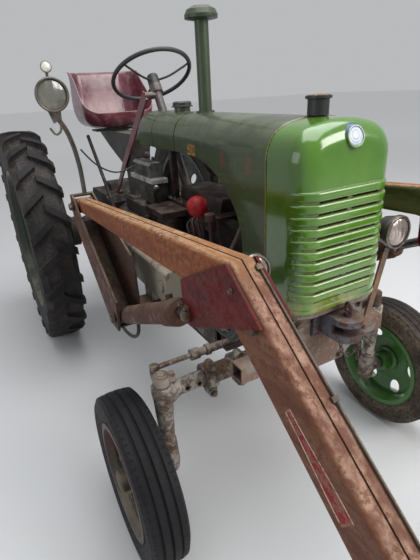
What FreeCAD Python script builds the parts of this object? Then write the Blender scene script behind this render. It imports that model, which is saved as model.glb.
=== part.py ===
import FreeCAD
import Part
import math
import os
from FreeCAD import Vector

os.makedirs("parts", exist_ok=True)

# A farm tractor of the 1950s with the arms of a front loader.
# X runs forward, Y to the left and Z up, in millimetres.
# Stations along X are measured from the rear axle, heights of the body from that axle too.
# At the end the whole tractor is moved back, so that its origin lies under its middle.

# Gaps between pieces that touch or pass each other
fit_gap = 0.3
running_clearance = 0.05
side_clearance = 5.0

# Rear wheels and tyres
rear_track = 1250.0
rear_rim_radius = 457.0
rear_tyre_section = 259.0
rear_tyre_width = 240.0
rear_bead_inset = 22.0
lug_height = 30.0
lug_pairs = 24
lug_width = 38.0
lug_angle = 45.0
rear_rim_wall = 7.0
rear_rim_flange = 22.0
rear_disc_wall = 8.0
rear_disc_inset = 20.0
rear_disc_land = 70.0
rear_dish_radius = 210.0
rear_window_count = 8
rear_window_radius = 36.0
rear_hub_radius = 105.0
rear_hub_length = 120.0
rear_hub_offset = 85.0
axle_shaft_radius = 38.0

# Front wheels and tyres
wheelbase = 1945.0
front_track = 1340.0
front_rim_radius = 203.0
front_tyre_section = 117.0
front_tyre_width = 145.0
front_bead_inset = 14.0
front_rib_count = 4
front_groove_width = 11.0
front_groove_depth = 9.0
front_rim_wall = 6.0
front_rim_flange = 15.0
front_disc_wall = 6.0
front_disc_rise = 22.0
front_dish_radius = 112.0
front_window_count = 6
front_window_radius = 30.0
front_hub_radius = 46.0
front_hub_inner = 48.0
front_hub_outer = 66.0

rear_axle_z = rear_rim_radius + rear_tyre_section
front_axle_z = front_rim_radius + front_tyre_section
rear_tyre_radius = rear_rim_radius + rear_tyre_section
front_tyre_radius = front_rim_radius + front_tyre_section

# Rear axle and gearbox
housing_half_width = 170.0
housing_rear = 190.0
housing_rise = 270.0
housing_drop = 215.0
trumpet_root_radius = 118.0
trumpet_end_radius = 78.0
trumpet_flange = 26.0
brake_drum_radius = 176.0
brake_drum_width = 70.0
gearbox_rear = 300.0
gearbox_half_width = 150.0
gearbox_rise = 225.0
gearbox_drop = 175.0
gearbox_cover_rise = 290.0
bell_length = 170.0
bell_half_width = 190.0
bell_rise = 320.0

# Engine
engine_length = 620.0
engine_setback = 195.0
engine_half_width = 150.0
engine_drop = 156.0
crankcase_height = 330.0
engine_height = 620.0
head_height = 80.0
rocker_cover_height = 55.0
sump_depth = 80.0
fan_over_axle = 464.0
fan_radius = 135.0
fan_shroud_radius = 152.0

# Front axle and steering
beam_rise = 320.0
beam_radius = 38.0
beam_half_length = 370.0
axle_tube_radius = 30.0
axle_pivot_radius = 20.0
clamp_length = 42.0
clamp_wall = 13.0
clamp_reach = 58.0
kingpin_offset = 535.0
kingpin_radius = 16.0
housing_top_radius = 40.0
housing_foot_radius = 27.0
housing_foot_rise = 82.0
housing_top_rise = 356.0
spindle_radius = 17.0
steer_arm_length = 62.0
steer_arm_thickness = 17.0
drag_arm_length = 105.0
drag_arm_lift = 44.0
tie_rod_radius = 10.0
tie_rod_gap = 0.5
joint_end_radius = 17.0
joint_end_height = 24.0
drop_arm_station = -50.0
drop_arm_rise = 360.0
drop_arm_side = 208.0
drop_arm_thickness = 16.0

# Bonnet, nose and tank
bonnet_half_width = 183.0
cowl_half_width = 128.0
crown_over_axle = 814.0
shoulder_radius = 100.0
crown_radius = 420.0
sheet = 4.0
cowl_setback = 245.0
cowl_length = 180.0
tank_length = 253.0
tank_depth = 158.0
bonnet_seam_gap = 8.0
side_opening_reach = 425.0
side_opening_rise = 275.0
side_opening_margin = 150.0
nose_over_axle = 249.0
nose_seam_lead = 130.0
nose_length = 162.0
nose_corner_radius = 66.0
nose_flange_height = 12.0
nose_flange_proud = 3.0
rib_count = 10
rib_pitch = 35.0
rib_height = 30.0
rib_proud = 10.0
rib_edge_radius = 9.5
rib_start = 53.0
slot_height = 4.6
slot_half_width = 118.0
slot_bar = 18.0
medallion_radius = 33.0
medallion_drop = 49.0
radiator_cap_lead = 9.0
radiator_neck_radius = 26.0
filler_radius = 38.0

# Loader arms and their masts
arm_offset = 485.0
arm_width = 70.0
arm_wall = 8.0
arm_edge_radius = 13.0
arm_seam_width = 4.0
arm_seam_depth = 3.0
pivot_setback = 155.0
pivot_over_axle = 406.0
pivot_pin_radius = 16.0
arm_bush_radius = 36.0
elbow_reach = 1425.0
elbow_rise = 164.0
arm_slope = 0.093
arm_root_depth = 62.0
arm_mid_depth = 106.0
arm_depth = 115.0
lower_arm_angle = 37.5
lower_arm_length = 1250.0
inner_corner_along = 95.0
tip_eye_radius = 46.0
tool_pin_radius = 16.0
cross_tube_radius = 48.0
cross_tube_along = 720.0
gusset_plate = 7.0
gusset_along = 160.0
gusset_lug_radius = 34.0
mast_plate = 10.0
mast_foot_lead = 300.0
mast_foot_drop = 58.0
rail_thickness = 42.0
rail_half_height = 55.0
rail_drop = 70.0

# Lift cylinders
cylinder_foot_lead = 25.0
cylinder_foot_drop = 407.0
cylinder_head_reach = 1230.0
cylinder_head_drop = 47.0
barrel_radius = 40.0
barrel_length = 668.0
gland_radius = 46.0
gland_length = 118.0
rod_radius = 17.5
eye_radius = 27.0
eye_side_gap = 2.5
foot_eye_radius = 30.0
cylinder_pin_radius = 13.0

# Driver's place
column_angle = 32.0
hand_wheel_setback = 45.0
hand_wheel_rise = 150.0
hand_wheel_radius = 215.0
hand_wheel_rim = 10.5
column_radius = 22.0
seat_x = 100.0
seat_over_axle = 704.0
seat_half_width = 240.0
seat_half_length = 205.0
seat_height = 346.0
seat_front_height = 62.0
seat_corner_radius = 100.0
seat_sheet = 4.0
carrier_foot_x = 470.0
carrier_half_width = 62.0
foot_plate_reach = 345.0
foot_plate_sheet = 6.0
lever_radius = 11.0

# Exhaust, lamps and hoses
stack_lead = 262.0
stack_radius = 28.0
stack_wall = 4.0
stack_over_crown = 350.0
rain_cap_radius = 67.0
headlight_lead = 95.0
headlight_y = 306.0
headlight_over_nose = 166.0
headlight_radius = 58.0
headlight_foot_y = 213.0
front_tube_half_length = 330.0
front_tube_size = 60.0
front_tube_drop = 213.0
front_tube_setback = 117.0
work_lamp_lead = 75.0
work_lamp_y = -560.0
work_lamp_rise = 506.0
work_lamp_radius = 68.0
lamp_post_radius = 11.0
lamp_post_side = -470.0
lamp_post_setback = 28.0
lamp_shelf_rise = 52.0
oil_tank_length = 500.0
oil_tank_height = 165.0
oil_tank_inner = 232.0
oil_tank_outer = 345.0
hose_radius = 9.0
lamp_lead_radius = 4.0

# Stations and levels that follow from the sizes above
engine_front = wheelbase - engine_setback
engine_rear = engine_front - engine_length
engine_bottom = rear_axle_z - engine_drop
engine_top = engine_bottom + engine_height
crankcase_top = engine_bottom + crankcase_height
beam_height = front_axle_z + beam_rise
kingpin_housing_bottom = front_axle_z + housing_foot_rise
kingpin_housing_top = front_axle_z + housing_top_rise
steer_arm_z = kingpin_housing_top + 2.0
tie_rod_base = steer_arm_z + steer_arm_thickness + tie_rod_gap
drop_arm_x = engine_rear + drop_arm_station
drop_arm_z = rear_axle_z + drop_arm_rise
drag_arm_z = steer_arm_z + drag_arm_lift
drag_link_z = drag_arm_z + steer_arm_thickness + tie_rod_gap + joint_end_height / 2
crown_height = rear_axle_z + crown_over_axle
cowl_rear = engine_rear - cowl_setback
cowl_seam = cowl_rear + cowl_length
tank_seam = cowl_seam + tank_length
tank_bottom = crown_height - tank_depth
nose_bottom = rear_axle_z + nose_over_axle
nose_seam = wheelbase + nose_seam_lead
nose_front = nose_seam + nose_length
rib_lowest = nose_bottom + rib_start
radiator_cap_x = nose_seam + radiator_cap_lead
pivot_x = engine_rear - pivot_setback
pivot_z = rear_axle_z + pivot_over_axle
elbow_x = pivot_x + elbow_reach
elbow_z = pivot_z + elbow_rise
mast_foot_x = engine_rear + mast_foot_lead
cylinder_foot_x = mast_foot_x + cylinder_foot_lead
cylinder_foot_z = pivot_z - cylinder_foot_drop
cylinder_head_x = pivot_x + cylinder_head_reach
cylinder_head_z = pivot_z - cylinder_head_drop
mast_bottom = cylinder_foot_z - mast_foot_drop
rail_z = cylinder_foot_z - rail_drop
mast_half_gap = barrel_radius + side_clearance
wheel_hub_x = cowl_rear - hand_wheel_setback
wheel_hub_z = crown_height + hand_wheel_rise
seat_z = rear_axle_z + seat_over_axle
stack_x = engine_rear + stack_lead
stack_top = crown_height + stack_over_crown
headlight_x = nose_seam + headlight_lead
headlight_z = nose_bottom + headlight_over_nose
front_tube_z = nose_bottom - front_tube_drop
front_tube_x = nose_front - front_tube_setback
work_lamp_x = pivot_x + work_lamp_lead
work_lamp_z = pivot_z + work_lamp_rise
arm_cos = math.cos(math.radians(lower_arm_angle))
arm_sin = math.sin(math.radians(lower_arm_angle))
tip_x = elbow_x + lower_arm_length * arm_cos - arm_depth / 2 * arm_sin
tip_z = elbow_z - lower_arm_length * arm_sin - arm_depth / 2 * arm_cos
origin_x = (tip_x + tip_eye_radius - rear_tyre_radius) / 2

X_AXIS = Vector(1, 0, 0)
Y_AXIS = Vector(0, 1, 0)
Z_AXIS = Vector(0, 0, 1)


def box(x0, x1, y0, y1, z0, z1):
    low = Vector(min(x0, x1), min(y0, y1), min(z0, z1))
    return Part.makeBox(abs(x1 - x0), abs(y1 - y0), abs(z1 - z0), low)


def rod(start, end, radius):
    run = end.sub(start)
    return Part.makeCylinder(radius, run.Length, start, run)


def pipe(start, end, radius, wall):
    return rod(start, end, radius).cut(rod(start, end, radius - wall))


def face_of(corners):
    return Part.Face(Part.makePolygon(corners + corners[:1]))


def polygon_xz(points, y0, y1):
    return face_of([Vector(x, y0, z) for x, z in points]).extrude(Vector(0, y1 - y0, 0))


def polygon_yz(points, x0, x1):
    return face_of([Vector(x0, y, z) for y, z in points]).extrude(Vector(x1 - x0, 0, 0))


def polygon_xy(points, z0, z1):
    return face_of([Vector(x, y, z0) for x, y in points]).extrude(Vector(0, 0, z1 - z0))


def turned(profile, centre, axis=Y_AXIS):
    # profile holds pairs of a radius and a place along the axis
    side = X_AXIS if abs(axis.z) > 0.9 else Z_AXIS
    side = (side - axis * side.dot(axis)).normalize()
    corners = [centre + side * r + axis * a for r, a in profile]
    return face_of(corners).revolve(centre, axis, 360)


def joined(shapes):
    whole = shapes[0].multiFuse(shapes[1:]) if len(shapes) > 1 else shapes[0]
    return whole.removeSplitter()


# A hose or bent rod: straight runs joined by tangent arcs as large as the runs allow
def bent_tube(points, radius, share=0.45):
    corners = [Vector(*p) for p in points]
    edges = []
    here = corners[0]
    for n in range(1, len(corners) - 1):
        before = corners[n - 1] - corners[n]
        after = corners[n + 1] - corners[n]
        shorter = min(before.Length, after.Length)
        before.normalize()
        after.normalize()
        half_turn = (math.pi - before.getAngle(after)) / 2
        trim = share * shorter
        bend = trim / math.tan(half_turn)
        start = corners[n] + before * trim
        end = corners[n] + after * trim
        inward = (before + after).normalize()
        middle = corners[n] + inward * (bend / math.cos(half_turn) - bend)
        edges.append(Part.LineSegment(here, start).toShape())
        edges.append(Part.Arc(start, middle, end).toShape())
        here = end
    edges.append(Part.LineSegment(here, corners[-1]).toShape())
    ring = Part.Wire(Part.makeCircle(radius, corners[0], corners[1] - corners[0]))
    return Part.Wire(edges).makePipeShell([ring], True, True)


def save(name, shape):
    placed = shape.copy()
    placed.translate(Vector(-origin_x, 0, 0))
    if not placed.isValid():
        raise ValueError(name + " is not a valid shape")
    placed.exportStep("parts/" + name + ".step")
    print(name, len(placed.Solids), round(placed.Volume / 1000))


# Rear tyre: a rounded carcass with chevron lugs that run over its shoulders
def rear_tyre(side):
    centre = Vector(0, side * rear_track / 2, rear_axle_z)
    half = rear_tyre_width / 2
    bead = rear_rim_radius + fit_gap
    bead_half = half - rear_bead_inset
    crown = rear_tyre_radius - lug_height
    flank = (bead + crown) / 2
    half_profile = [(bead, -bead_half), (bead + 25, -bead_half), (bead + 42, -half + 11), (flank, -half),
                    (crown - 36, -half + 8), (crown - 8, -half + 42)]
    profile = half_profile + [(crown, 0)] + [(r, -a) for r, a in reversed(half_profile)]
    carcass = turned(profile, centre)
    shoulder = [(crown - 64, -half), (rear_tyre_radius - 26, -half), (rear_tyre_radius - 6, -half + 26),
                (rear_tyre_radius, -half / 3)]
    envelope = turned(shoulder + [(r, -a) for r, a in reversed(shoulder)], centre)
    pitch = 360.0 / lug_pairs
    sweep = math.tan(math.radians(lug_angle)) * half
    lugs = []
    for row, start in ((1, 0.0), (-1, 0.5)):
        outline = [(-lug_width / 2 + 8, -7 * row), (lug_width / 2 + 14, -7 * row),
                   (lug_width / 2 + sweep * 0.55, row * half * 0.5),
                   (lug_width / 2 + sweep * 0.9, row * (half + 1)),
                   (-lug_width / 2 + sweep * 0.84, row * (half + 1)),
                   (-lug_width / 2 + sweep * 0.47, row * half * 0.5)]
        foot = Vector(0, centre.y, centre.z + crown - 46)
        corners = [foot + Vector(x, y, 0) for x, y in outline]
        bar = face_of(corners).extrude(Vector(0, 0, lug_height + 60)).common(envelope)
        for n in range(lug_pairs):
            copy = bar.copy()
            copy.rotate(centre, Y_AXIS, (n + start) * pitch)
            lugs.append(copy)
    return joined([carcass] + lugs)


# Rear wheel: rim with turned flanges, dished disc with windows, and a hub on the axle shaft
def rear_wheel(side):
    centre = Vector(0, side * rear_track / 2, rear_axle_z)
    half = rear_tyre_width / 2 - rear_bead_inset + fit_gap
    outer = rear_rim_radius
    wall = rear_rim_wall
    flange = outer + rear_rim_flange
    well = outer - 2 * wall
    rim = turned([(outer, -half), (flange, -half), (flange, -half - wall), (outer - wall, -half - wall),
                  (well - wall, -half + 40), (well - wall, half - 40), (outer - wall, half + wall),
                  (flange, half + wall), (flange, half), (outer, half), (well, half - 40),
                  (well, -half + 40)], centre)
    inward = -side
    seat = well - wall / 2
    land = inward * rear_disc_inset
    dish = inward * rear_hub_offset
    thick = inward * rear_disc_wall
    disc = turned([(seat, land), (seat - rear_disc_land, land), (rear_dish_radius, dish), (60, dish),
                   (60, dish + thick), (rear_dish_radius + 2, dish + thick),
                   (seat - rear_disc_land + 2, land + thick), (seat, land + thick)], centre)
    circle = (rear_dish_radius + seat - rear_disc_land) / 2
    for n in range(rear_window_count):
        angle = 2 * math.pi * (n + 0.5) / rear_window_count
        spot = centre + Vector(math.cos(angle) * circle, 0, math.sin(angle) * circle)
        disc = disc.cut(rod(spot - Y_AXIS * 150, spot + Y_AXIS * 150, rear_window_radius))
    hub_end = dish + inward * rear_hub_length
    bore = axle_shaft_radius + running_clearance
    boss = rear_hub_radius * 0.62
    hub = turned([(bore, dish - inward * 30), (boss, dish - inward * 30), (boss, dish),
                  (rear_hub_radius, dish),
                  (rear_hub_radius, dish + inward * 34), (rear_hub_radius * 0.7, hub_end), (bore, hub_end)],
                 centre)
    return joined([rim, disc, hub])


# Front tyre: rounded section with ribs round the tread
def front_tyre(side):
    centre = Vector(wheelbase, side * front_track / 2, front_axle_z)
    half = front_tyre_width / 2
    bead = front_rim_radius + fit_gap
    bead_half = half - front_bead_inset
    crown = front_tyre_radius
    shoulder = half - 13
    rib = (2 * shoulder - (front_rib_count - 1) * front_groove_width) / front_rib_count
    tread = []
    for n in range(front_rib_count):
        left = -shoulder + n * (rib + front_groove_width)
        fall = [abs(y) / shoulder * abs(y) / shoulder * 6 for y in (left, left + rib)]
        tread.append((crown - fall[0], left))
        tread.append((crown - fall[1], left + rib))
        if n < front_rib_count - 1:
            tread.append((crown - front_groove_depth, left + rib + front_groove_width * 0.3))
            tread.append((crown - front_groove_depth, left + rib + front_groove_width * 0.7))
    flank = (bead + crown) / 2 + 6
    low = [(bead, -bead_half), (bead + 17, -bead_half), (bead + 30, -half + 7), (flank, -half),
           (crown - 22, -half + 3)]
    return turned(low + tread + [(r, -a) for r, a in reversed(low)], centre)


def front_wheel(side):
    centre = Vector(wheelbase, side * front_track / 2, front_axle_z)
    half = front_tyre_width / 2 - front_bead_inset + fit_gap
    outer = front_rim_radius
    wall = front_rim_wall
    flange = outer + front_rim_flange
    well = outer - 2 * wall
    rim = turned([(outer, -half), (flange, -half), (flange, -half - wall), (outer - wall, -half - wall),
                  (well - wall, -half + 24), (well - wall, half - 24), (outer - wall, half + wall),
                  (flange, half + wall), (flange, half), (outer, half), (well, half - 24),
                  (well, -half + 24)], centre)
    out = side
    seat = well - 2
    low = out * front_disc_wall
    high = out * (front_disc_rise + front_disc_wall)
    disc = turned([(seat, low), (seat - 22, low), (front_dish_radius, high), (30, high),
                   (30, high - low), (front_dish_radius - 2, high - low), (seat - 24, 0), (seat, 0)], centre)
    circle = (front_dish_radius + seat) / 2 - 2
    for n in range(front_window_count):
        angle = 2 * math.pi * n / front_window_count
        spot = centre + Vector(math.cos(angle) * circle, 0, math.sin(angle) * circle)
        disc = disc.cut(rod(spot - Y_AXIS * 60, spot + Y_AXIS * 60, front_window_radius))
    bore = spindle_radius + running_clearance
    inner = -out * front_hub_inner
    face = out * (front_disc_rise - 12)
    cap = out * front_hub_outer
    cap_radius = front_hub_radius - 6
    hub = turned([(bore, inner), (front_hub_radius, inner), (front_hub_radius, out * 4),
                  (front_hub_radius + 16, face),
                  (front_hub_radius + 16, high - low), (cap_radius + 2, high - low), (cap_radius, cap),
                  (cap_radius - 10, cap + out * 8), (0, cap + out * 8), (0, cap - out * 10),
                  (bore, cap - out * 10)],
                 centre)
    return joined([rim, disc, hub])


# Knuckle: kingpin, spindle and steering arm, turning in the axle end
def knuckle(side):
    x = wheelbase
    y = side * kingpin_offset
    wheel_y = side * front_track / 2
    boss_top = kingpin_housing_bottom - 2
    boss_low = front_axle_z - 38
    collar_top = drag_arm_z + steer_arm_thickness if side > 0 else steer_arm_z + 36
    pin = rod(Vector(x, y, boss_low + 4), Vector(x, y, collar_top + 8), kingpin_radius)
    boss = turned([(0, boss_low), (housing_foot_radius + 7, boss_low),
                   (housing_foot_radius + 11, front_axle_z),
                   (housing_foot_radius + 7, boss_top - 14), (housing_foot_radius + 7, boss_top),
                   (0, boss_top)],
                  Vector(x, y, 0), Z_AXIS)
    spindle_end = wheel_y + side * (front_hub_outer - 14)
    spindle = rod(Vector(x, y, front_axle_z), Vector(x, spindle_end, front_axle_z), spindle_radius)
    shoulder_end = wheel_y - side * (front_hub_inner + 6)
    shoulder = rod(Vector(x, y, front_axle_z), Vector(x, shoulder_end, front_axle_z), spindle_radius + 10)
    collar = rod(Vector(x, y, steer_arm_z), Vector(x, y, collar_top), kingpin_radius + 14)
    nut = Part.makeCylinder(kingpin_radius + 8, 12, Vector(x, y, collar_top - 6), Z_AXIS)
    end_x = x - steer_arm_length
    top = steer_arm_z + steer_arm_thickness
    arm = polygon_xy([(end_x, y - joint_end_radius), (x, y - kingpin_radius - 14),
                      (x, y + kingpin_radius + 14),
                      (end_x, y + joint_end_radius)], steer_arm_z, top)
    arm_end = Part.makeCylinder(joint_end_radius, steer_arm_thickness, Vector(end_x, y, steer_arm_z), Z_AXIS)
    ear = box(x - 12, x + 12, y - side * (kingpin_radius + 8), y - side * (kingpin_radius + 34),
              steer_arm_z, steer_arm_z + 34)
    pieces = [pin, boss, spindle, shoulder, collar, nut, arm, arm_end, ear]
    if side > 0:
        reach = y - drag_arm_length
        drag_top = drag_arm_z + steer_arm_thickness
        drag_arm = polygon_xy([(x + 24, y), (x + 15, reach), (x - 15, reach), (x - 24, y)], drag_arm_z,
                              drag_top)
        drag_end = Part.makeCylinder(joint_end_radius, steer_arm_thickness, Vector(x, reach, drag_arm_z),
                                     Z_AXIS)
        pieces += [drag_arm, drag_end]
    return joined(pieces)


def tie_rod():
    x = wheelbase - steer_arm_length
    y = kingpin_offset
    level = tie_rod_base + joint_end_height / 2
    pieces = [rod(Vector(x, -y, level), Vector(x, y, level), tie_rod_radius)]
    for hand in (1, -1):
        end = Vector(x, hand * y, tie_rod_base)
        pieces.append(Part.makeCylinder(joint_end_radius, joint_end_height, end, Z_AXIS))
        pieces.append(rod(Vector(x, hand * (y - 150), level), Vector(x, 0, level), tie_rod_radius + 6))
        for place, length in ((165.0, 34.0), (222.0, 18.0)):
            middle = hand * (y - place)
            pieces.append(rod(Vector(x, middle - length / 2, level), Vector(x, middle + length / 2, level),
                              tie_rod_radius + 12))
    return joined(pieces)


# Axle ends: a tapered kingpin housing on a tube that slides in the beam
def axle_end(side):
    y = side * kingpin_offset
    low = kingpin_housing_bottom
    high = kingpin_housing_top
    housing = turned([(0, low), (housing_foot_radius + 5, low), (housing_foot_radius + 5, low + 20),
                      (housing_foot_radius, low + 28), (housing_top_radius - 4,
                                                        beam_height - axle_tube_radius),
                      (housing_top_radius, high - 30), (housing_top_radius, high - 6),
                      (housing_top_radius - 6, high),
                      (0, high)], Vector(wheelbase, y, 0), Z_AXIS)
    tube = rod(Vector(wheelbase, side * 120, beam_height), Vector(wheelbase, y, beam_height),
               axle_tube_radius)
    fillet = polygon_yz([(y, beam_height - 78), (y - side * 86, beam_height - 20), (y, beam_height - 20)],
                        wheelbase - 9, wheelbase + 9)
    body = joined([housing, tube, fillet])
    for back in (135, 85):
        place = y - side * back
        body = body.cut(rod(Vector(wheelbase - 60, place, beam_height),
                            Vector(wheelbase + 60, place, beam_height), 9))
    bore = rod(Vector(wheelbase, y, low - 20), Vector(wheelbase, y, high + 20),
               kingpin_radius + running_clearance)
    return body.cut(bore)


def axle_clamp(y):
    # a split collar whose two ears are drawn together by bolts along X
    x = wheelbase
    z = beam_height
    half = clamp_length / 2
    outer = beam_radius + clamp_wall
    collar = rod(Vector(x, y - half, z), Vector(x, y + half, z), outer)
    cheek = box(x + 2, x + 30, y - half, y + half, z - clamp_reach, z + clamp_reach)
    ears = [rod(Vector(x + 2, y, z + s * clamp_reach), Vector(x + 38, y, z + s * clamp_reach), half * 0.86)
            for s in (1, -1)]
    return [collar, cheek] + ears


def front_axle():
    x = wheelbase
    z = beam_height
    pieces = []
    for side in (1, -1):
        pieces.append(rod(Vector(x, side * 70, z), Vector(x, side * beam_half_length, z), beam_radius))
        for place in (beam_half_length - clamp_length / 2, 225.0):
            pieces += axle_clamp(side * place)
    pieces.append(box(x - 20, x + 56, -78, 78, z - 34, z + 44))
    whole = joined(pieces)
    for side in (1, -1):
        whole = whole.cut(rod(Vector(x, side * 100, z), Vector(x, side * 600, z), axle_tube_radius + fit_gap))
    pivot_z_here = z + axle_pivot_radius
    return whole.cut(rod(Vector(x - 80, 0, pivot_z_here), Vector(x + 80, 0, pivot_z_here), axle_pivot_radius))


# Bolster: the casting between engine and axle, its front plate and the shelf below the nose
def front_bolster():
    x = wheelbase
    z = beam_height
    foot = z + 44 + side_clearance
    tie_top = tie_rod_base + joint_end_height + 2 * side_clearance
    deck = nose_bottom - 20
    front = nose_front - 58
    body = polygon_xz([(engine_front + fit_gap, deck), (front, deck), (front, deck - 160),
                       (front - 52, deck - 180),
                       (x + 88, deck - 180), (x + 88, foot), (x - 34, foot), (x - 34, tie_top),
                       (engine_front + fit_gap, tie_top + 44)], -110, 110)
    ears = [box(x - 38, x - 24, -45, 45, z - 24, foot + 4), box(x + 61, x + 88, -45, 45, z - 24, foot + 4)]
    pin_z = z + axle_pivot_radius
    pin = rod(Vector(x - 42, 0, pin_z), Vector(x + 96, 0, pin_z), axle_pivot_radius - running_clearance)
    h = bonnet_half_width
    c = nose_corner_radius - 2
    lip = nose_front - 2
    shelf = polygon_xy([(nose_seam - 15, -h), (lip - c, -h), (lip - c * 0.3, -h + c * 0.3), (lip, c - h),
                        (lip, h - c),
                        (lip - c * 0.3, h - c * 0.3), (lip - c, h), (nose_seam - 15, h)], deck,
                       nose_bottom - fit_gap)
    web = box(front, front + 12, -h + 30, h - 30, deck - 60, deck)
    plate = polygon_yz([(-158, deck - 18), (158, deck - 18), (158, deck - 170), (78, deck - 242),
                        (-78, deck - 242),
                        (-158, deck - 170)], front, front + 12)
    size = front_tube_size / 2
    reach = front_tube_half_length
    cross = box(front_tube_x - size, front_tube_x + size, -reach, reach, front_tube_z - size,
                front_tube_z + size)
    bore = box(front_tube_x - size + 5, front_tube_x + size - 5, reach - 90, reach + 1,
               front_tube_z - size + 5,
               front_tube_z + size - 5)
    cross = cross.cut(bore).cut(bore.mirror(Vector(0, 0, 0), Y_AXIS))
    return joined([body, pin, shelf, web, plate, cross] + ears)


# Tow clevis: two half-round plates with a mouth between them and a ring-headed pin
def front_hitch():
    x0 = nose_front - 46 + fit_gap
    z = nose_bottom - 68
    half = 50.0
    height = 76.0
    nose_x = x0 + 80
    outline = box(x0, nose_x, -half, half, z - height / 2, z + height / 2)
    round_end = Part.makeCylinder(half, height, Vector(nose_x, 0, z - height / 2), Z_AXIS)
    body = joined([outline, round_end])
    body = body.cut(box(x0 + 34, nose_x + half + 5, -half - 5, half + 5, z - 17, z + 17))
    side_wall = box(x0, nose_x - 16, -half, -half + 14, z - height / 2, z + height / 2)
    foot = box(x0, x0 + 12, -80, 80, z - 48, z + 48)
    pin = rod(Vector(nose_x, 0, z - height / 2 - 14), Vector(nose_x, 0, z + height / 2 + 16), 13)
    ring = Part.makeTorus(16, 5, Vector(nose_x, 0, z + height / 2 + 30), Vector(0.3, 1, 0))
    return joined([body, side_wall, foot, pin, ring])


def rear_housing():
    z = rear_axle_z
    half = housing_half_width
    low = z - housing_drop
    high = z + housing_rise
    body = polygon_xz([(-housing_rear, z - 150), (-housing_rear + 60, low), (180, low),
                       (gearbox_rear, z - 170),
                       (gearbox_rear, z + gearbox_rise + 5), (180, high), (-120, high),
                       (-housing_rear, z + 180)],
                      -half, half)
    lift_cover = polygon_xz([(-90, high), (120, high), (80, high + 46), (-60, high + 46)], -90, 90)
    pieces = [body, lift_cover]
    reach = rear_track / 2 - rear_hub_offset - rear_hub_length - side_clearance
    for side in (1, -1):
        root = trumpet_root_radius
        neck = trumpet_end_radius
        rim = neck + trumpet_flange
        trumpet = turned([(0, side * (half - 20)), (root + 40, side * (half - 20)),
                          (root + 40, side * (half + 20)),
                          (root, side * (half + 35)), (neck + 14, side * (reach - 110)),
                          (neck, side * (reach - 60)),
                          (rim, side * (reach - 54)), (rim, side * reach), (0, side * reach)],
                         Vector(0, 0, z))
        shaft_end = side * (rear_track / 2 - rear_hub_offset + 24)
        shaft = rod(Vector(0, side * (reach - 20), z), Vector(0, shaft_end, z), axle_shaft_radius)
        drum = rod(Vector(0, side * (half - 5), z), Vector(0, side * (half + brake_drum_width - 5), z),
                   brake_drum_radius)
        pieces += [trumpet, shaft, drum]
    return joined(pieces)


def gearbox():
    z = rear_axle_z
    w = gearbox_half_width
    top = z + gearbox_rise
    low = z - gearbox_drop
    bell_rear = engine_rear - bell_length
    tunnel = polygon_yz([(-w + 30, low + 45), (-w + 80, low), (w - 80, low), (w - 30, low + 45), (w, z + 40),
                         (w - 30, top - 35), (w - 90, top), (-w + 90, top), (-w + 30, top - 35),
                         (-w, z + 40)],
                        gearbox_rear, bell_rear)
    b = bell_half_width
    bell_top = z + bell_rise
    sump = engine_bottom - 90
    bell = polygon_yz([(-b + 40, sump + 50), (-b + 100, sump), (b - 100, sump), (b - 40, sump + 50),
                       (b, z + 60),
                       (b - 25, bell_top - 80), (b - 90, bell_top), (-b + 90, bell_top),
                       (-b + 25, bell_top - 80),
                       (-b, z + 60)], bell_rear, engine_rear)
    cover_top = z + gearbox_cover_rise
    cover = box(gearbox_rear + 120, bell_rear, -95, 95, top - 10, cover_top)
    ridges = [e for e in cover.Edges if e.BoundBox.ZMin > cover_top - 1 and e.BoundBox.XLength > 100]
    cover = cover.makeFillet(14, ridges)
    return joined([tunnel, bell, cover])


# Engine block with sump, cylinder casting, head and rocker cover; the tank stands on its head
def engine_block():
    z0 = engine_bottom
    half = engine_half_width
    head_low = engine_top - head_height - 30
    head_top = engine_top - 30
    crankcase = box(engine_rear, engine_front, -half, half, z0, crankcase_top)
    sump = polygon_xz([(engine_rear + 40, z0), (engine_front - 90, z0), (engine_front - 150, z0 - sump_depth),
                       (engine_rear + 110, z0 - sump_depth)], -half + 25, half - 25)
    cylinders = box(engine_rear + 110, engine_front - 60, -half + 28, half - 28, crankcase_top, head_low)
    casting = box(engine_rear + 110, engine_front - 60, -half, half, crankcase_top, head_low)
    pots = []
    for share in (0.2, 0.4, 0.6, 0.8):
        px = engine_rear + 110 + share * (engine_length - 170)
        pots.append(rod(Vector(px, 0, crankcase_top), Vector(px, 0, head_low), half - 18).common(casting))
    head = box(engine_rear + 90, engine_front - 50, -half + 12, half - 12, head_low, head_top)
    cover = polygon_yz([(-90, head_top), (-78, head_top + rocker_cover_height),
                        (78, head_top + rocker_cover_height),
                        (90, head_top)], engine_rear + 130, engine_front - 110)
    cover = cover.makeFillet(10, [e for e in cover.Edges if e.BoundBox.ZMin > head_top + 1])
    legs = []
    leg_x = tank_seam - 82
    for leg_y in (-122, 94):
        legs.append(box(leg_x, leg_x + 30, leg_y, leg_y + 28, head_top - 5, tank_bottom - fit_gap))
    return joined([crankcase, sump, cylinders] + pots + [head, cover] + legs)


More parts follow.
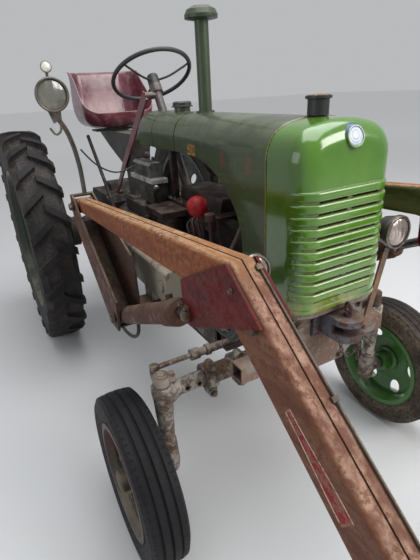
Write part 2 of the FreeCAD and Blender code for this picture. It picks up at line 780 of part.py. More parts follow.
# Pump, filters, pipes and covers on the right side of the engine, and the fan at its front
def engine_dress():
    y = -engine_half_width
    z = crankcase_top
    x = engine_rear
    pump = box(x + 370, x + 560, y - 62, y - fit_gap, z - 90, z + 20)
    pump = pump.makeFillet(8, [e for e in pump.Edges if e.BoundBox.YMax < y - 50])
    elements = [rod(Vector(px, y - 32, z + 20), Vector(px, y - 32, z + 82), 16) for px in (x + 400, x + 450,
                                                                                           x + 500)]
    governor = turned([(0, 0), (37, 0), (37, 30), (28, 46), (0, 46)], Vector(x + 560, y - 38, z - 40), X_AXIS)
    filters = []
    for px in (x + 160, x + 262):
        filters.append(turned([(0, 0), (30, 0), (43, 14), (43, 150), (50, 152), (50, 172), (0, 172)],
                              Vector(px, y - 66, z + 48), Z_AXIS))
    filter_head = box(x + 110, x + 312, y - 116, y + 12 - fit_gap, z + 220, z + 246)
    pipes = []
    for n, px in enumerate((x + 400, x + 450, x + 500)):
        rise = 150 + 26 * n
        head_face = y + 12 - fit_gap - 5
        pipes.append(bent_tube([(px, y - 32, z + 80), (px, y - 32, z + rise),
                                (px - 40, y - 26, z + rise + 46),
                                (px - 52, head_face, z + rise + 60)], 5))
    cover = turned([(0, 0), (70, 0), (78, 8), (78, 26), (60, 34), (0, 40)],
                   Vector(x + 430, y + 12 - fit_gap, z + 150),
                   Vector(0, -1, 0))
    filler_ball = Part.makeSphere(42, Vector(x + 525, y - 52, z + 312))
    filler_neck = rod(Vector(x + 525, y + 12 - fit_gap - 14, z + 240), Vector(x + 525, y - 52, z + 300), 18)
    filler_foot = box(x + 500, x + 550, y - 14, y + 12 - fit_gap, z + 205, z + 262)
    tap = rod(Vector(x + 600, y - 40, z + 240), Vector(x + 600, y - 40, z + 286), 9)
    tap_cap = rod(Vector(x + 600, y - 40, z + 270), Vector(x + 600, y - 40, z + 296), 21)
    tap_pipe = bent_tube([(x + 600, y - 40, z + 244), (x + 600, y - 40, z + 60), (x + 590, y - 14, z - 30),
                          (x + 590, y - 7 - fit_gap, z - 66)], 7)
    parts = [pump] + elements + [governor] + filters + [filter_head] + pipes
    parts += [cover, filler_ball, filler_neck, filler_foot, tap, tap_cap, tap_pipe]
    return joined(parts + fan())


def fan():
    x = nose_seam - 75
    z = rear_axle_z + fan_over_axle
    hub = rod(Vector(engine_front + 10, 0, z), Vector(x + 20, 0, z), 30)
    groove = turned([(0, -30), (62, -30), (62, -26), (50, -19), (62, -12), (62, -8), (0, -8)],
                    Vector(x, 0, z), X_AXIS)
    blades = []
    for n in range(4):
        blade = box(x, x + 5, -26, 26, z + 24, z + fan_radius)
        blade.rotate(Vector(x, 0, z + 80), Z_AXIS, 24)
        blade.rotate(Vector(x, 0, z), X_AXIS, 45 + 90 * n)
        blades.append(blade)
    post = box(engine_front - 50 + fit_gap, engine_front + 40, -35, 35, engine_top - 80, z + 25)
    return [hub, groove, post] + blades


def manifold():
    y = engine_half_width - 12
    z = engine_top - 75
    run = y + 46
    log = rod(Vector(engine_rear + 160, run, z), Vector(engine_front - 80, run, z), 34)
    ports = [rod(Vector(px, y + fit_gap, z), Vector(px, run, z), 26)
             for px in (engine_rear + 200, (engine_rear + engine_front) / 2, engine_front - 130)]
    top = z + 150
    high = crown_height - 96 - fit_gap
    riser = bent_tube([(stack_x, run, z), (stack_x, run, top), (stack_x, 0, top + 20), (stack_x, 0, high)],
                      26)
    return joined([log, riser] + ports)


# Radiator with tanks above and below, fan shroud and the two coolant hoses
def radiator():
    x0 = nose_seam + 5
    z = rear_axle_z + fan_over_axle
    half = bonnet_half_width - 22
    core = box(x0 + 6, x0 + 60, -half, half, nose_bottom + 45, crown_height - 140)
    header = box(x0 - 10, x0 + 70, -half - 2, half + 2, crown_height - 145, crown_height - 70)
    footer = box(x0 - 10, x0 + 70, -half - 2, half + 2, nose_bottom, nose_bottom + 50)
    neck = rod(Vector(radiator_cap_x, 0, crown_height - 90), Vector(radiator_cap_x, 0, crown_height + 2),
               radiator_neck_radius)
    neck_foot = box(radiator_cap_x - 30, x0 + 20, -40, 40, crown_height - 110, crown_height - 80)
    shroud = rod(Vector(x0 - 50, 0, z), Vector(x0 + 8, 0, z), fan_shroud_radius)
    shroud = shroud.cut(rod(Vector(x0 - 51, 0, z), Vector(x0 + 9, 0, z), fan_shroud_radius - 6))
    hose_y = -92.0
    head_face = engine_front - 50 + fit_gap
    block_face = engine_front - 60 + fit_gap
    top_hose = bent_tube([(x0 + 10, hose_y, crown_height - 110), (x0 - 80, hose_y, crown_height - 110),
                          (x0 - 190, hose_y + 10, engine_top - 58),
                          (head_face, hose_y + 10, engine_top - 58)], 21)
    low_hose = bent_tube([(x0 + 10, hose_y, nose_bottom + 24), (x0 - 90, hose_y, nose_bottom + 24),
                          (engine_front + 90, hose_y, nose_bottom + 8),
                          (block_face, hose_y, nose_bottom + 8)], 20)
    return joined([core, header, footer, neck, neck_foot, shroud, top_hose, low_hose])


# Section of the bonnet: straight sides, round shoulders and an arched top, all tangent
def hood_wire(x, half, low, inset=0.0):
    shoulder = shoulder_radius - inset
    arch = crown_radius - inset
    top = crown_height - inset
    reach = half - shoulder_radius
    lean = math.asin(reach / (crown_radius - shoulder_radius))
    arch_z = crown_height - crown_radius
    shoulder_z = arch_z + (crown_radius - shoulder_radius) * math.cos(lean)
    mid = (lean + math.pi / 2) / 2

    def on_shoulder(side, turn):
        return Vector(x, side * (reach + shoulder * math.sin(turn)), shoulder_z + shoulder * math.cos(turn))

    a = Vector(x, -half + inset, low)
    b = Vector(x, -half + inset, shoulder_z)
    d = on_shoulder(-1, lean)
    f = on_shoulder(1, lean)
    i = Vector(x, half - inset, shoulder_z)
    j = Vector(x, half - inset, low)
    edges = [Part.LineSegment(a, b).toShape(), Part.Arc(b, on_shoulder(-1, mid), d).toShape(),
             Part.Arc(d, Vector(x, 0, top), f).toShape(), Part.Arc(f, on_shoulder(1, mid), i).toShape(),
             Part.LineSegment(i, j).toShape(), Part.LineSegment(j, a).toShape()]
    return Part.Wire(edges)


def half_width_at(x):
    # cowl and tank run parallel, the bonnet widens from the tank to the nose
    if x <= tank_seam:
        return cowl_half_width
    share = (x - tank_seam) / (nose_seam - tank_seam)
    return cowl_half_width + (bonnet_half_width - cowl_half_width) * share


def hood_solid(x0, x1, low, inset=0.0):
    wires = [hood_wire(x, half_width_at(x), low, inset) for x in (x0, x1)]
    return Part.makeLoft(wires, True, True)


# Bonnet: its open engine side is a quarter ellipse that sweeps up from nose to tank
def bonnet():
    x0 = tank_seam + bonnet_seam_gap
    x1 = nose_seam - fit_gap
    low = nose_bottom + 20
    skin = hood_solid(x0, x1, low).cut(hood_solid(x0 - 1, x1 + 1, low - 1, sheet))
    front = nose_seam - side_opening_margin
    mid_x = front - side_opening_reach
    sill = tank_bottom + 3
    mid_z = sill - side_opening_rise
    y = -bonnet_half_width - 50
    depth = Vector(0, -2 * y, 0)
    arch = Part.Ellipse(Vector(front, y, mid_z), Vector(mid_x, y, sill), Vector(mid_x, y, mid_z))
    sweep = Part.Face(Part.Wire(arch.toShape())).extrude(depth)
    rear_part = box(x0 - 5, mid_x, y, -y, low - 5, sill)
    low_part = box(mid_x - 5, front, y, -y, low - 5, mid_z)
    skin = skin.cut(joined([sweep, rear_part, low_part]))
    collar = rod(Vector(stack_x, 0, crown_height - 100), Vector(stack_x, 0, crown_height + 100),
                 stack_radius + 4)
    rim = pipe(Vector(stack_x, 0, crown_height - sheet / 2), Vector(stack_x, 0, crown_height + 5),
               stack_radius + 12, 8)
    neck = rod(Vector(radiator_cap_x, 0, crown_height - 50), Vector(radiator_cap_x, 0, crown_height + 50),
               radiator_neck_radius + 4)
    return joined([skin.cut(collar), rim]).cut(neck)


def rear_cowl():
    x1 = cowl_seam - fit_gap
    low = tank_bottom
    skin = hood_solid(cowl_rear, x1, low).cut(hood_solid(cowl_rear + sheet, x1 + 1, low - 1, sheet))
    hole = rod(column_point(-20), column_point(420), column_radius + 12)
    return skin.cut(hole)


def fuel_tank():
    tank = hood_solid(cowl_seam, tank_seam, tank_bottom)
    x = (cowl_seam + tank_seam) / 2 - 26
    neck = rod(Vector(x, 0, crown_height - 12), Vector(x, 0, crown_height + 18), filler_radius)
    return joined([tank, neck])


# Filler cap of the tank and cap of the radiator
def caps():
    x = (cowl_seam + tank_seam) / 2 - 26
    base = crown_height + 18 + fit_gap
    r = filler_radius
    fuel = turned([(0, base), (r + 12, base), (r + 12, base + 5), (r + 6, base + 7), (r + 6, base + 19),
                   (r, base + 24),
                   (0, base + 24)], Vector(x, 0, 0), Z_AXIS)
    low = crown_height + 2 + fit_gap
    n = radiator_neck_radius
    water = turned([(0, low), (n + 6, low), (n + 6, low + 44), (n + 13, low + 46), (n + 13, low + 54),
                    (0, low + 54)],
                   Vector(radiator_cap_x, 0, 0), Z_AXIS)
    return Part.makeCompound([fuel, water])


# Nose: the bonnet's section, closed at the front by one round edge, with half-round ribs
def nose_block(inset, low, x_back):
    front = nose_front - inset
    wires = [hood_wire(x, bonnet_half_width, low, inset) for x in (x_back, front)]
    block = Part.makeLoft(wires, True, True)
    rim = [e for e in block.Edges if e.BoundBox.XMin > front - 1e-3 and e.BoundBox.ZMax > low + 1e-3]
    return block.makeFillet(nose_corner_radius - inset, rim)


def nose_ring(side_proud, front_proud, low, high):
    h = bonnet_half_width + side_proud
    x1 = nose_front + front_proud
    corner = nose_corner_radius + front_proud * 0.6
    block = box(nose_seam, x1, -h, h, low, high)
    upright = [e for e in block.Edges if e.BoundBox.XMin > x1 - 1e-3 and e.BoundBox.ZLength > high - low - 1e-3]
    return block.makeFillet(corner, upright)


def nose_cowl():
    outer = nose_block(0.0, nose_bottom, nose_seam)
    pieces = [outer]
    for n in range(rib_count):
        z = rib_lowest + n * rib_pitch
        ring = nose_ring(-0.5, rib_proud, z - rib_height / 2, z + rib_height / 2)
        edges = [e for e in ring.Edges if e.BoundBox.ZLength < 1e-3 and e.BoundBox.XMax > nose_seam + 1
                 and abs(abs(e.BoundBox.ZMin - z) - rib_height / 2) < 1e-3]
        pieces.append(ring.makeFillet(rib_edge_radius, edges))
    pieces.append(nose_ring(nose_flange_proud, nose_flange_proud, nose_bottom,
                            nose_bottom + nose_flange_height))
    solid = joined(pieces)
    shell = solid.cut(nose_block(sheet, nose_bottom - 50, nose_seam - 30))
    for n in range(rib_count):
        z = rib_lowest + (n - 0.5) * rib_pitch
        for y0, y1 in ((-slot_half_width, -slot_bar / 2), (slot_bar / 2, slot_half_width)):
            shell = shell.cut(box(nose_front - 30, nose_front + 30, y0, y1, z - slot_height / 2,
                                  z + slot_height / 2))
    # a bare round medallion stands on the curve above the ribs
    rise = (nose_corner_radius - medallion_drop) / nose_corner_radius
    tilt = math.asin(rise)
    axis = Vector(math.cos(tilt), 0, math.sin(tilt))
    foot = Vector(nose_front - nose_corner_radius, 0, crown_height - nose_corner_radius)
    foot = foot + axis * (nose_corner_radius - 3)
    r = medallion_radius
    disc = turned([(0, 0), (r, 0), (r, 7), (r - 3, 9), (r - 6, 9), (r - 8, 7), (0, 7)], foot, axis)
    shell = joined([shell, disc])
    neck = rod(Vector(radiator_cap_x, 0, crown_height - 50), Vector(radiator_cap_x, 0, crown_height + 50),
               radiator_neck_radius + 4)
    return shell.cut(neck)


def exhaust_stack():
    base = crown_height - 96
    r = stack_radius
    tube = pipe(Vector(stack_x, 0, base), Vector(stack_x, 0, stack_top - 8), r, stack_wall)
    flange = rod(Vector(stack_x, 0, base), Vector(stack_x, 0, base + 6), r + 1.5)
    cap = turned([(0, stack_top - 12), (r + 6, stack_top - 12), (rain_cap_radius - 1, stack_top - 6),
                  (rain_cap_radius, stack_top + 6), (rain_cap_radius - 9, stack_top + 24),
                  (r + 8, stack_top + 36),
                  (0, stack_top + 40)], Vector(stack_x, 0, 0), Z_AXIS)
    return joined([tube, flange, cap])


def column_point(along):
    t = math.radians(column_angle)
    return Vector(wheel_hub_x + math.sin(t) * along, 0, wheel_hub_z - math.cos(t) * along)


# Steering column with its gear case and the long flat brace that runs back to the axle housing
def steering_column():
    case_base = rear_axle_z + bell_rise + fit_gap
    case_top = case_base + 105
    t = math.radians(column_angle)
    reach = (wheel_hub_z - case_top) / math.cos(t) + 30
    tube = rod(column_point(37 + fit_gap), column_point(reach), column_radius)
    head = rod(column_point(37 + fit_gap), column_point(80), column_radius + 10)
    low = column_point(reach)
    case_rear = engine_rear - bell_length + 5
    case_front = engine_rear + 84
    case = polygon_xz([(case_rear, case_base), (engine_rear - 5, case_base), (case_front, case_base + 40),
                       (case_front, case_top + 6), (low.x - 40, case_top + 6), (case_rear, case_base + 50)],
                      -70, 96)
    high = column_point(88)
    knee_x = 390.0
    knee_z = seat_z - 230
    half = 20.0
    foot_z = rear_axle_z + housing_rise + fit_gap
    brace_y = -carrier_half_width - 3
    brace_foot_x = 172.0
    brace = polygon_xz([(high.x + half, high.z - half), (high.x - half, high.z + half),
                        (knee_x - half, knee_z + half * 0.6), (brace_foot_x - half, foot_z),
                        (brace_foot_x + half, foot_z), (knee_x + half, knee_z - half * 0.6)], brace_y,
                       brace_y - 10)
    lug = box(brace_foot_x - half - 12, brace_foot_x + half + 12, brace_y - 10, brace_y + 35, foot_z,
              foot_z + 8)
    ear = rod(Vector(high.x, brace_y - 10, high.z), Vector(high.x, 0, high.z), 15)
    return joined([tube, head, case, brace, lug, ear])


def steering_wheel():
    t = math.radians(column_angle)
    normal = Vector(-math.sin(t), 0, math.cos(t))
    centre = Vector(wheel_hub_x, 0, wheel_hub_z) + normal * 18
    rim_circle = hand_wheel_radius - hand_wheel_rim
    rim = Part.makeTorus(rim_circle, hand_wheel_rim, centre, normal)
    hub = rod(centre - normal * 55, centre - normal * 8, column_radius + 8)
    cap = turned([(0, -8), (column_radius + 8, -8), (column_radius + 4, 0), (0, 6)], centre, normal)
    forward = Vector(math.cos(t), 0, math.sin(t))
    spokes = []
    for angle in (60.0, 180.0, 300.0):
        a = math.radians(angle)
        direction = forward * math.cos(a) + Y_AXIS * math.sin(a)
        inner = centre - normal * 30 + direction * 8
        bend = centre - normal * 34 + direction * (rim_circle * 0.4)
        outer = centre - normal * 10 + direction * (rim_circle * 0.86)
        end = centre + direction * (rim_circle + 1)
        spokes.append(bent_tube([tuple(p) for p in (inner, bend, outer, end)], 5.5))
    return joined([rim, hub, cap] + spokes)


def rounded_wire(x0, x1, half, corner, z):
    flat = half - corner
    k = corner * math.sqrt(0.5)
    rows = [((x0 + corner, -half), (x1 - corner, -half), (x1 - corner + k, -flat - k), (x1, -flat)),
            ((x1, -flat), (x1, flat), (x1 - corner + k, flat + k), (x1 - corner, half)),
            ((x1 - corner, half), (x0 + corner, half), (x0 + corner - k, flat + k), (x0, flat)),
            ((x0, flat), (x0, -flat), (x0 + corner - k, -flat - k), (x0 + corner, -half))]
    edges = []
    for row in rows:
        start, end, bow, last = [Vector(px, py, z) for px, py in row]
        edges.append(Part.LineSegment(start, end).toShape())
        edges.append(Part.Arc(end, bow, last).toShape())
    return Part.Wire(edges)


# Pan seat: a bucket lofted through four rounded sections, its rim cut down towards the front
def seat_bucket(inset):
    sections = ((0.0, 0.58, 0.60, 0.62), (0.075, 0.86, 0.84, 0.85), (0.26, 0.97, 0.95, 0.95),
                (1.0, 1.0, 1.02, 1.0))
    wires = []
    for rise, width, length, corner in sections:
        half = seat_half_width * width - inset
        reach = seat_half_length * length - inset
        z = seat_z + seat_height * rise + (inset if rise < 0.01 else 0.0)
        rear = seat_x - reach - 30 * rise
        wires.append(rounded_wire(rear, seat_x + reach, half, seat_corner_radius * corner - inset, z))
    return Part.makeLoft(wires, True, False)


def seat_pan():
    shell = seat_bucket(0.0).cut(seat_bucket(seat_sheet))
    top = seat_z + seat_height
    rear = seat_x - seat_half_length
    front = seat_x + seat_half_length
    lip = seat_z + seat_front_height
    # the rim falls in a long curve from the back rest to the low front edge
    back_end = Vector(rear + 95, 0, top - 4)
    mid = Vector(rear + 215, 0, top - 95)
    front_end = Vector(front + 20, 0, lip)
    side = Vector(0, -seat_half_width - 40, 0)
    outline = [Part.Arc(back_end + side, mid + side, front_end + side).toShape(),
               Part.LineSegment(front_end + side, Vector(front + 60, side.y, top + 60)).toShape(),
               Part.LineSegment(Vector(front + 60, side.y, top + 60),
                                Vector(rear - 80, side.y, top + 60)).toShape(),
               Part.LineSegment(Vector(rear - 80, side.y, top + 60),
                                Vector(rear - 80, side.y, top - 4)).toShape(),
               Part.LineSegment(Vector(rear - 80, side.y, top - 4), back_end + side).toShape()]
    cutter = Part.Face(Part.Wire(outline)).extrude(Vector(0, -2 * side.y, 0))
    return shell.cut(cutter)


# Cantilever that carries the seat from the gearbox cover, with the dark housings under the seat
def seat_carrier():
    w = carrier_half_width
    base = rear_axle_z + gearbox_cover_rise + fit_gap
    top = seat_z - fit_gap
    x = carrier_foot_x
    arm = polygon_xz([(x - 44, base), (x + 44, base), (x + 60, top - 150), (x + 96, top - 56),
                      (x + 96, top - 24),
                      (seat_x - 130, top - 24), (seat_x - 190, top - 40), (seat_x + 20, top - 130),
                      (x - 170, top - 196),
                      (x - 60, top - 238)], -w, w)
    foot = box(x - 50, x + 90, -90, 90, base, base + 14)
    cross = box(seat_x - 60, seat_x + 60, -150, 150, top - 24, top - 12)
    pad = rod(Vector(seat_x, 0, top - 13), Vector(seat_x, 0, top), 70)
    case = box(seat_x + 90, x + 60, -w + 3, w + 30, top - 104, top - 36)
    case = case.makeFillet(9, [e for e in case.Edges if e.BoundBox.ZMin > top - 40])
    slant = math.atan2(160.0, 250.0)
    lower_case = box(0, 150, -w + 6, w + 20, -34, 34)
    lower_case.rotate(Vector(0, 0, 0), Y_AXIS, math.degrees(slant))
    lower_case.translate(Vector(seat_x + 150, 0, top - 128))
    return joined([arm, foot, cross, pad, case, lower_case])


# Foot plates, pedals and hand levers
def controls():
    z = rear_axle_z + 40
    plate_rear = engine_rear - bell_length - 490
    plate_front = plate_rear + 290
    pieces = []
    inner = gearbox_half_width + fit_gap
    for side in (1, -1):
        pieces.append(box(plate_rear, plate_front, side * inner, side * foot_plate_reach,
                          z - foot_plate_sheet, z))
        lip = side * (foot_plate_reach - 5)
        pieces.append(box(plate_rear, plate_front, lip, side * foot_plate_reach, z, z + 14))
        for start in (50, 210):
            stay_x = plate_rear + start
            pieces.append(box(stay_x, stay_x + 40, side * inner, lip, z - 40, z - foot_plate_sheet))
        shaft_x = plate_front + 42
        y = side * 215
        arm = polygon_xz([(shaft_x - 14, z + 10), (shaft_x + 14, z + 14), (shaft_x - 95, z + 194),
                          (shaft_x - 112, z + 180)], y - 7, y + 7)
        pad = box(shaft_x - 142, shaft_x - 80, y - 34, y + 34, z + 180, z + 190)
        shaft = rod(Vector(shaft_x, side * (gearbox_half_width - 2), z + 24),
                    Vector(shaft_x, side * 235, z + 24), 11)
        pieces += [arm, pad, shaft]
    lever_x = carrier_foot_x - 30
    lever_z = rear_axle_z + 297
    lever_y = -200.0
    top = Vector(lever_x - 338, lever_y, lever_z + 359)
    foot = Vector(lever_x, lever_y, lever_z)
    knuckle_z = rear_axle_z + gearbox_rise - 60
    low = Vector(lever_x + 70, lever_y, knuckle_z)
    lever = rod(foot, top, lever_radius)
    shank = rod(low, foot, lever_radius + 2)
    knee = Part.makeSphere(lever_radius + 2, foot)
    side_fall = 30 * (low.z - 14 - rear_axle_z - 40) / (gearbox_rise - 75)
    cross = rod(low + Vector(0, -14, 0), Vector(low.x, -gearbox_half_width + side_fall - fit_gap, low.z), 14)
    gear_foot_z = rear_axle_z + gearbox_cover_rise + fit_gap
    gear_x = carrier_foot_x + 220
    gear_top = Vector(gear_x - 110, 20, gear_foot_z + 262)
    gear_lever = rod(Vector(gear_x, 20, gear_foot_z + 30), gear_top, 9)
    gear_knob = Part.makeSphere(22, gear_top)
    gear_foot = Part.makeCone(42, 18, 60, Vector(gear_x, 20, gear_foot_z), Z_AXIS)
    return joined(pieces + [lever, shank, knee, cross, gear_lever, gear_knob, gear_foot])


# Valve of the loader on the right of the bell housing, with the fuse box above it
def valve_block():
    x = engine_rear - bell_length
    y = -bell_half_width - 12
    z = rear_axle_z + bell_rise + 190
    plate = box(x, x + 290, y - 20, y + 60, z, z + 20)
    fuse_box = box(x + 22, x + 240, y - 10, y + 60, z + 20, z + 88)
    lid_edges = [e for e in fuse_box.Edges if e.BoundBox.ZMin > z + 80 and e.BoundBox.XLength > 100]
    fuse_box = fuse_box.makeChamfer(12, lid_edges)
    body = box(x + 90, x + 276, y - 12, y + 60, z - 98, z)
    spools = [rod(Vector(px, y + 12, z - 150), Vector(px, y + 12, z - 96), 11) for px in (x + 118, x + 172,
                                                                                          x + 226)]
    rods = [rod(Vector(px, y + 12, z - 235), Vector(px, y + 12, z - 140), 6) for px in (x + 118, x + 172,
                                                                                        x + 226)]
    lever = rod(Vector(x + 262, y, z - 30), Vector(x + 318, y - 14, z - 14), 6)
    knob = Part.makeSphere(15, Vector(x + 322, y - 15, z - 12))
    # the bracket stands on the bell housing's sloping shoulder
    shoulder_z = rear_axle_z + bell_rise - 80
    slope = 80 / 65
    near, far = [shoulder_z + (bell_half_width - 25 + place) * slope + 2 * fit_gap for place in (y + 40,
                                                                                                 y + 60)]
    bracket = polygon_yz([(y + 40, near), (y + 60, far), (y + 60, z), (y + 40, z)], x + 60, x + 100)
    tray = box(x + 60, x + 280, y + 4, y + 30, z - 242, z - 230)
    stay = box(x + 60, x + 100, y + 4, y + 56, z - 220, z - 200)
    hanger = box(x + 60, x + 100, y + 4, y + 16, z - 242, z - 200)
    pieces = [plate, fuse_box, body] + spools + rods + [lever, knob, bracket, tray, stay, hanger]
    return joined(pieces)


# Headlights: a deep bowl on a flat bar bolted to the cross tube below the nose
def headlights():
    lamps = []
    for side in (1, -1):
        centre = Vector(headlight_x, side * headlight_y, headlight_z)
        r = headlight_radius
        shell = turned([(0, -78), (24, -74), (r - 12, -42), (r - 3, -6), (r, 0), (r, 20), (r - 6, 20),
                        (r - 6, 8),
                        (0, 8)], centre, X_AXIS)
        glass = turned([(0, 8), (r - 7, 8), (r - 7, 13), (r * 0.6, 19), (0, 23)], centre, X_AXIS)
        low = headlight_z - r + 6
        foot = front_tube_z - front_tube_size / 2 + 4
        face = front_tube_x + front_tube_size / 2 + fit_gap
        top_y = headlight_y - 6
        foot_y = headlight_foot_y
        outline = [(top_y - 14, low), (top_y + 14, low), (foot_y + 14, foot), (foot_y - 14, foot)]
        bar = polygon_yz([(side * a, b) for a, b in outline], face, face + 8)
        tab = box(face, headlight_x + 6, side * (top_y - 14), side * (top_y + 14), low - 8, low + 6)
        lamps.append(joined([shell, glass, bar, tab]))
    return Part.makeCompound(lamps)


def arm_outline():
    # corners of one loader arm seen from the side, as pairs of x and z
    def top(x):
        return elbow_z + (x - elbow_x) * arm_slope
    haunch = cylinder_head_x - 70
    end_x = elbow_x + lower_arm_length * arm_cos
    end_z = elbow_z - lower_arm_length * arm_sin
    down_x = arm_depth * arm_sin
    down_z = arm_depth * arm_cos
    along = inner_corner_along
    return [(pivot_x, top(pivot_x)), (elbow_x, elbow_z), (end_x, end_z), (end_x - down_x, end_z - down_z),
            (elbow_x + along * arm_cos - down_x, elbow_z - along * arm_sin - down_z),
            (haunch, top(haunch) - arm_mid_depth), (pivot_x, top(pivot_x) - arm_root_depth)]


# One arm: two channels welded toe to toe, so a seam runs along its top and its underside
def loader_arm(side):
    y = side * arm_offset
    y0 = y - arm_width / 2
    y1 = y + arm_width / 2
    outline = arm_outline()
    skin = polygon_xz(outline, y0, y1)
    long_edges = [e for e in skin.Edges if e.BoundBox.YLength < 1e-3 and e.Length > 130]
    skin = skin.makeFillet(arm_edge_radius, long_edges)
    core = face_of([Vector(x, y0 + arm_wall, z) for x, z in outline])
    core = core.makeOffset2D(-arm_wall - arm_seam_depth).extrude(Vector(0, arm_width - 2 * arm_wall, 0))
    seam = face_of([Vector(x, y - arm_seam_width / 2, z) for x, z in outline])
    groove = seam.extrude(Vector(0, arm_seam_width, 0))
    groove = groove.cut(seam.makeOffset2D(-arm_seam_depth).extrude(Vector(0, arm_seam_width, 0)))
    bush_half = mast_half_gap - side_clearance
    bush = rod(Vector(pivot_x, y - bush_half, pivot_z), Vector(pivot_x, y + bush_half, pivot_z),
               arm_bush_radius)
    tip = rod(Vector(tip_x, y0 - 4, tip_z), Vector(tip_x, y1 + 4, tip_z), tip_eye_radius)
    arm = joined([skin.cut(core).cut(groove), bush, tip])
    head_x = cylinder_head_x
    head_z = cylinder_head_z
    lug = gusset_lug_radius
    gusset = [(elbow_x, elbow_z), (elbow_x + gusset_along * arm_cos, elbow_z - gusset_along * arm_sin),
              (head_x + lug * 0.42, head_z - lug * 0.9), (head_x - lug, head_z),
              (head_x - lug - 4, head_z + 90)]
    plates = []
    for edge, out in ((y0, -1), (y1, 1)):
        plate = polygon_xz(gusset, edge, edge + out * gusset_plate)
        ear = rod(Vector(head_x, edge, head_z), Vector(head_x, edge + out * gusset_plate, head_z), lug)
        boss = rod(Vector(head_x, edge, head_z), Vector(head_x, edge + out * (gusset_plate + 8), head_z),
                   cylinder_pin_radius + 6)
        plates += [plate, ear, boss]
    keeper_y = y + side * arm_width / 2
    plates.append(box(head_x - 46, head_x + 12, keeper_y, keeper_y + side * (gusset_plate + 5), head_z + 12,
                      head_z + 30))
    arm = joined([arm] + plates)
    arm = arm.cut(rod(Vector(pivot_x, y - 90, pivot_z), Vector(pivot_x, y + 90, pivot_z),
                      pivot_pin_radius + running_clearance))
    return arm.cut(rod(Vector(tip_x, y - 90, tip_z), Vector(tip_x, y + 90, tip_z), tool_pin_radius))


def along_lower_arm(along, depth, y):
    return Vector(elbow_x + along * arm_cos - depth * arm_sin, y, elbow_z - along * arm_sin - depth * arm_cos)


# Boom: both arms and the round tube that ties them together ahead of the nose
def loader_boom():
    reach = arm_offset - arm_width / 2
    mid = arm_depth / 2
    tube = rod(along_lower_arm(cross_tube_along, mid, -reach), along_lower_arm(cross_tube_along, mid, reach),
               cross_tube_radius)
    collars = []
    for side in (1, -1):
        collars.append(rod(along_lower_arm(cross_tube_along, mid, side * reach),
                           along_lower_arm(cross_tube_along, mid, side * (reach - 10)),
                           cross_tube_radius + 7))
    return joined([loader_arm(1), loader_arm(-1), tube] + collars)


# Oil hoses of the tool, clipped under the inner side of the right arm
def boom_hoses():
    y = -arm_offset + arm_width / 2 + gusset_plate + 1.5 * hose_radius
    x = cylinder_head_x
    z = cylinder_head_z
    hoses = []
    for n, drop in enumerate((0.0, 22.0)):
        row = y + n * (2 * hose_radius + 4)
        hoses.append(bent_tube([(x - 210, row, z + 96), (x - 150, row, z + 20 - drop),
                                (x - 40, row, z - 78 - drop),
                                (x + 30, row, z - 88 - drop), (x + 78, row, z - 40), (x + 112, row, z + 46),
                                (x + 128, row, z + 120)], hose_radius))
    inner = -arm_offset + arm_width / 2 + gusset_plate + fit_gap
    far = y + 3 * hose_radius + 10
    clips = [box(x - 222, x - 192, -arm_offset + arm_width / 2 + fit_gap, far, z + 84, z + 112),
             box(x + 112, x + 146, inner, far, z + 104, z + 132)]
    return joined(hoses + clips)


# Masts: two plates each, a web between them, the pivot pin and a beam to the rail on the engine
def mast(side):
    inner = arm_offset - mast_half_gap - mast_plate
    outer = arm_offset + mast_half_gap
    foot_x = mast_foot_x
    front_x = foot_x + 66
    low = mast_bottom
    shelf_top = pivot_z + lamp_shelf_rise
    head = [(pivot_x - 46, shelf_top), (pivot_x - 10, shelf_top), (pivot_x + 22, pivot_z + 38)]
    tail = [(foot_x + 42, low), (foot_x - 60, low), (foot_x - 90, low + 24), (pivot_x - 46, pivot_z - 90)]
    wide = head + [(pivot_x + 320, pivot_z - 62), (foot_x + 32, pivot_z - 130), (front_x - 4, pivot_z - 200),
                   (front_x, low + 70)] + tail
    narrow = head + [(pivot_x + 60, pivot_z - 8), (front_x, low + 150), (front_x, low + 70)] + tail
    pieces = []
    for place, outline in ((inner, wide), (outer, narrow)):
        y0, y1 = sorted((side * place, side * (place + mast_plate)))
        pieces.append(polygon_xz(outline, y0, y1))
    y0, y1 = sorted((side * inner, side * (outer + mast_plate)))
    web = [(pivot_x - 46, pivot_z - 90), (pivot_x - 36, pivot_z - 90), (foot_x - 82, low + 30),
           (foot_x - 56, low + 9),
           (foot_x + 20, low + 9), (foot_x + 20, low), (foot_x - 60, low), (foot_x - 90, low + 24)]
    pieces.append(polygon_xz(web, y0, y1))
    pieces.append(rod(Vector(pivot_x, y0 - 8, pivot_z), Vector(pivot_x, y1 + 8, pivot_z), pivot_pin_radius))
    foot_pin = (cylinder_foot_x, cylinder_foot_z)
    pieces.append(rod(Vector(foot_pin[0], y0 - 6, foot_pin[1]), Vector(foot_pin[0], y1 + 6, foot_pin[1]),
                      cylinder_pin_radius))
    rail_side = engine_half_width + rail_thickness + fit_gap
    beam_y = sorted((side * (inner + 5), side * (rail_side + 8)))
    pieces.append(box(foot_x - 120, foot_x - 20, beam_y[0], beam_y[1], low, low + 62))
    flange = sorted((side * rail_side, side * (rail_side + 13)))
    pieces.append(box(foot_x - 210, foot_x + 90, flange[0], flange[1], rail_z - 48, rail_z + 84))
    if side < 0:
        pieces.append(box(pivot_x - 46, pivot_x - 10, y0, y1, shelf_top - 10, shelf_top))
    return joined(pieces)


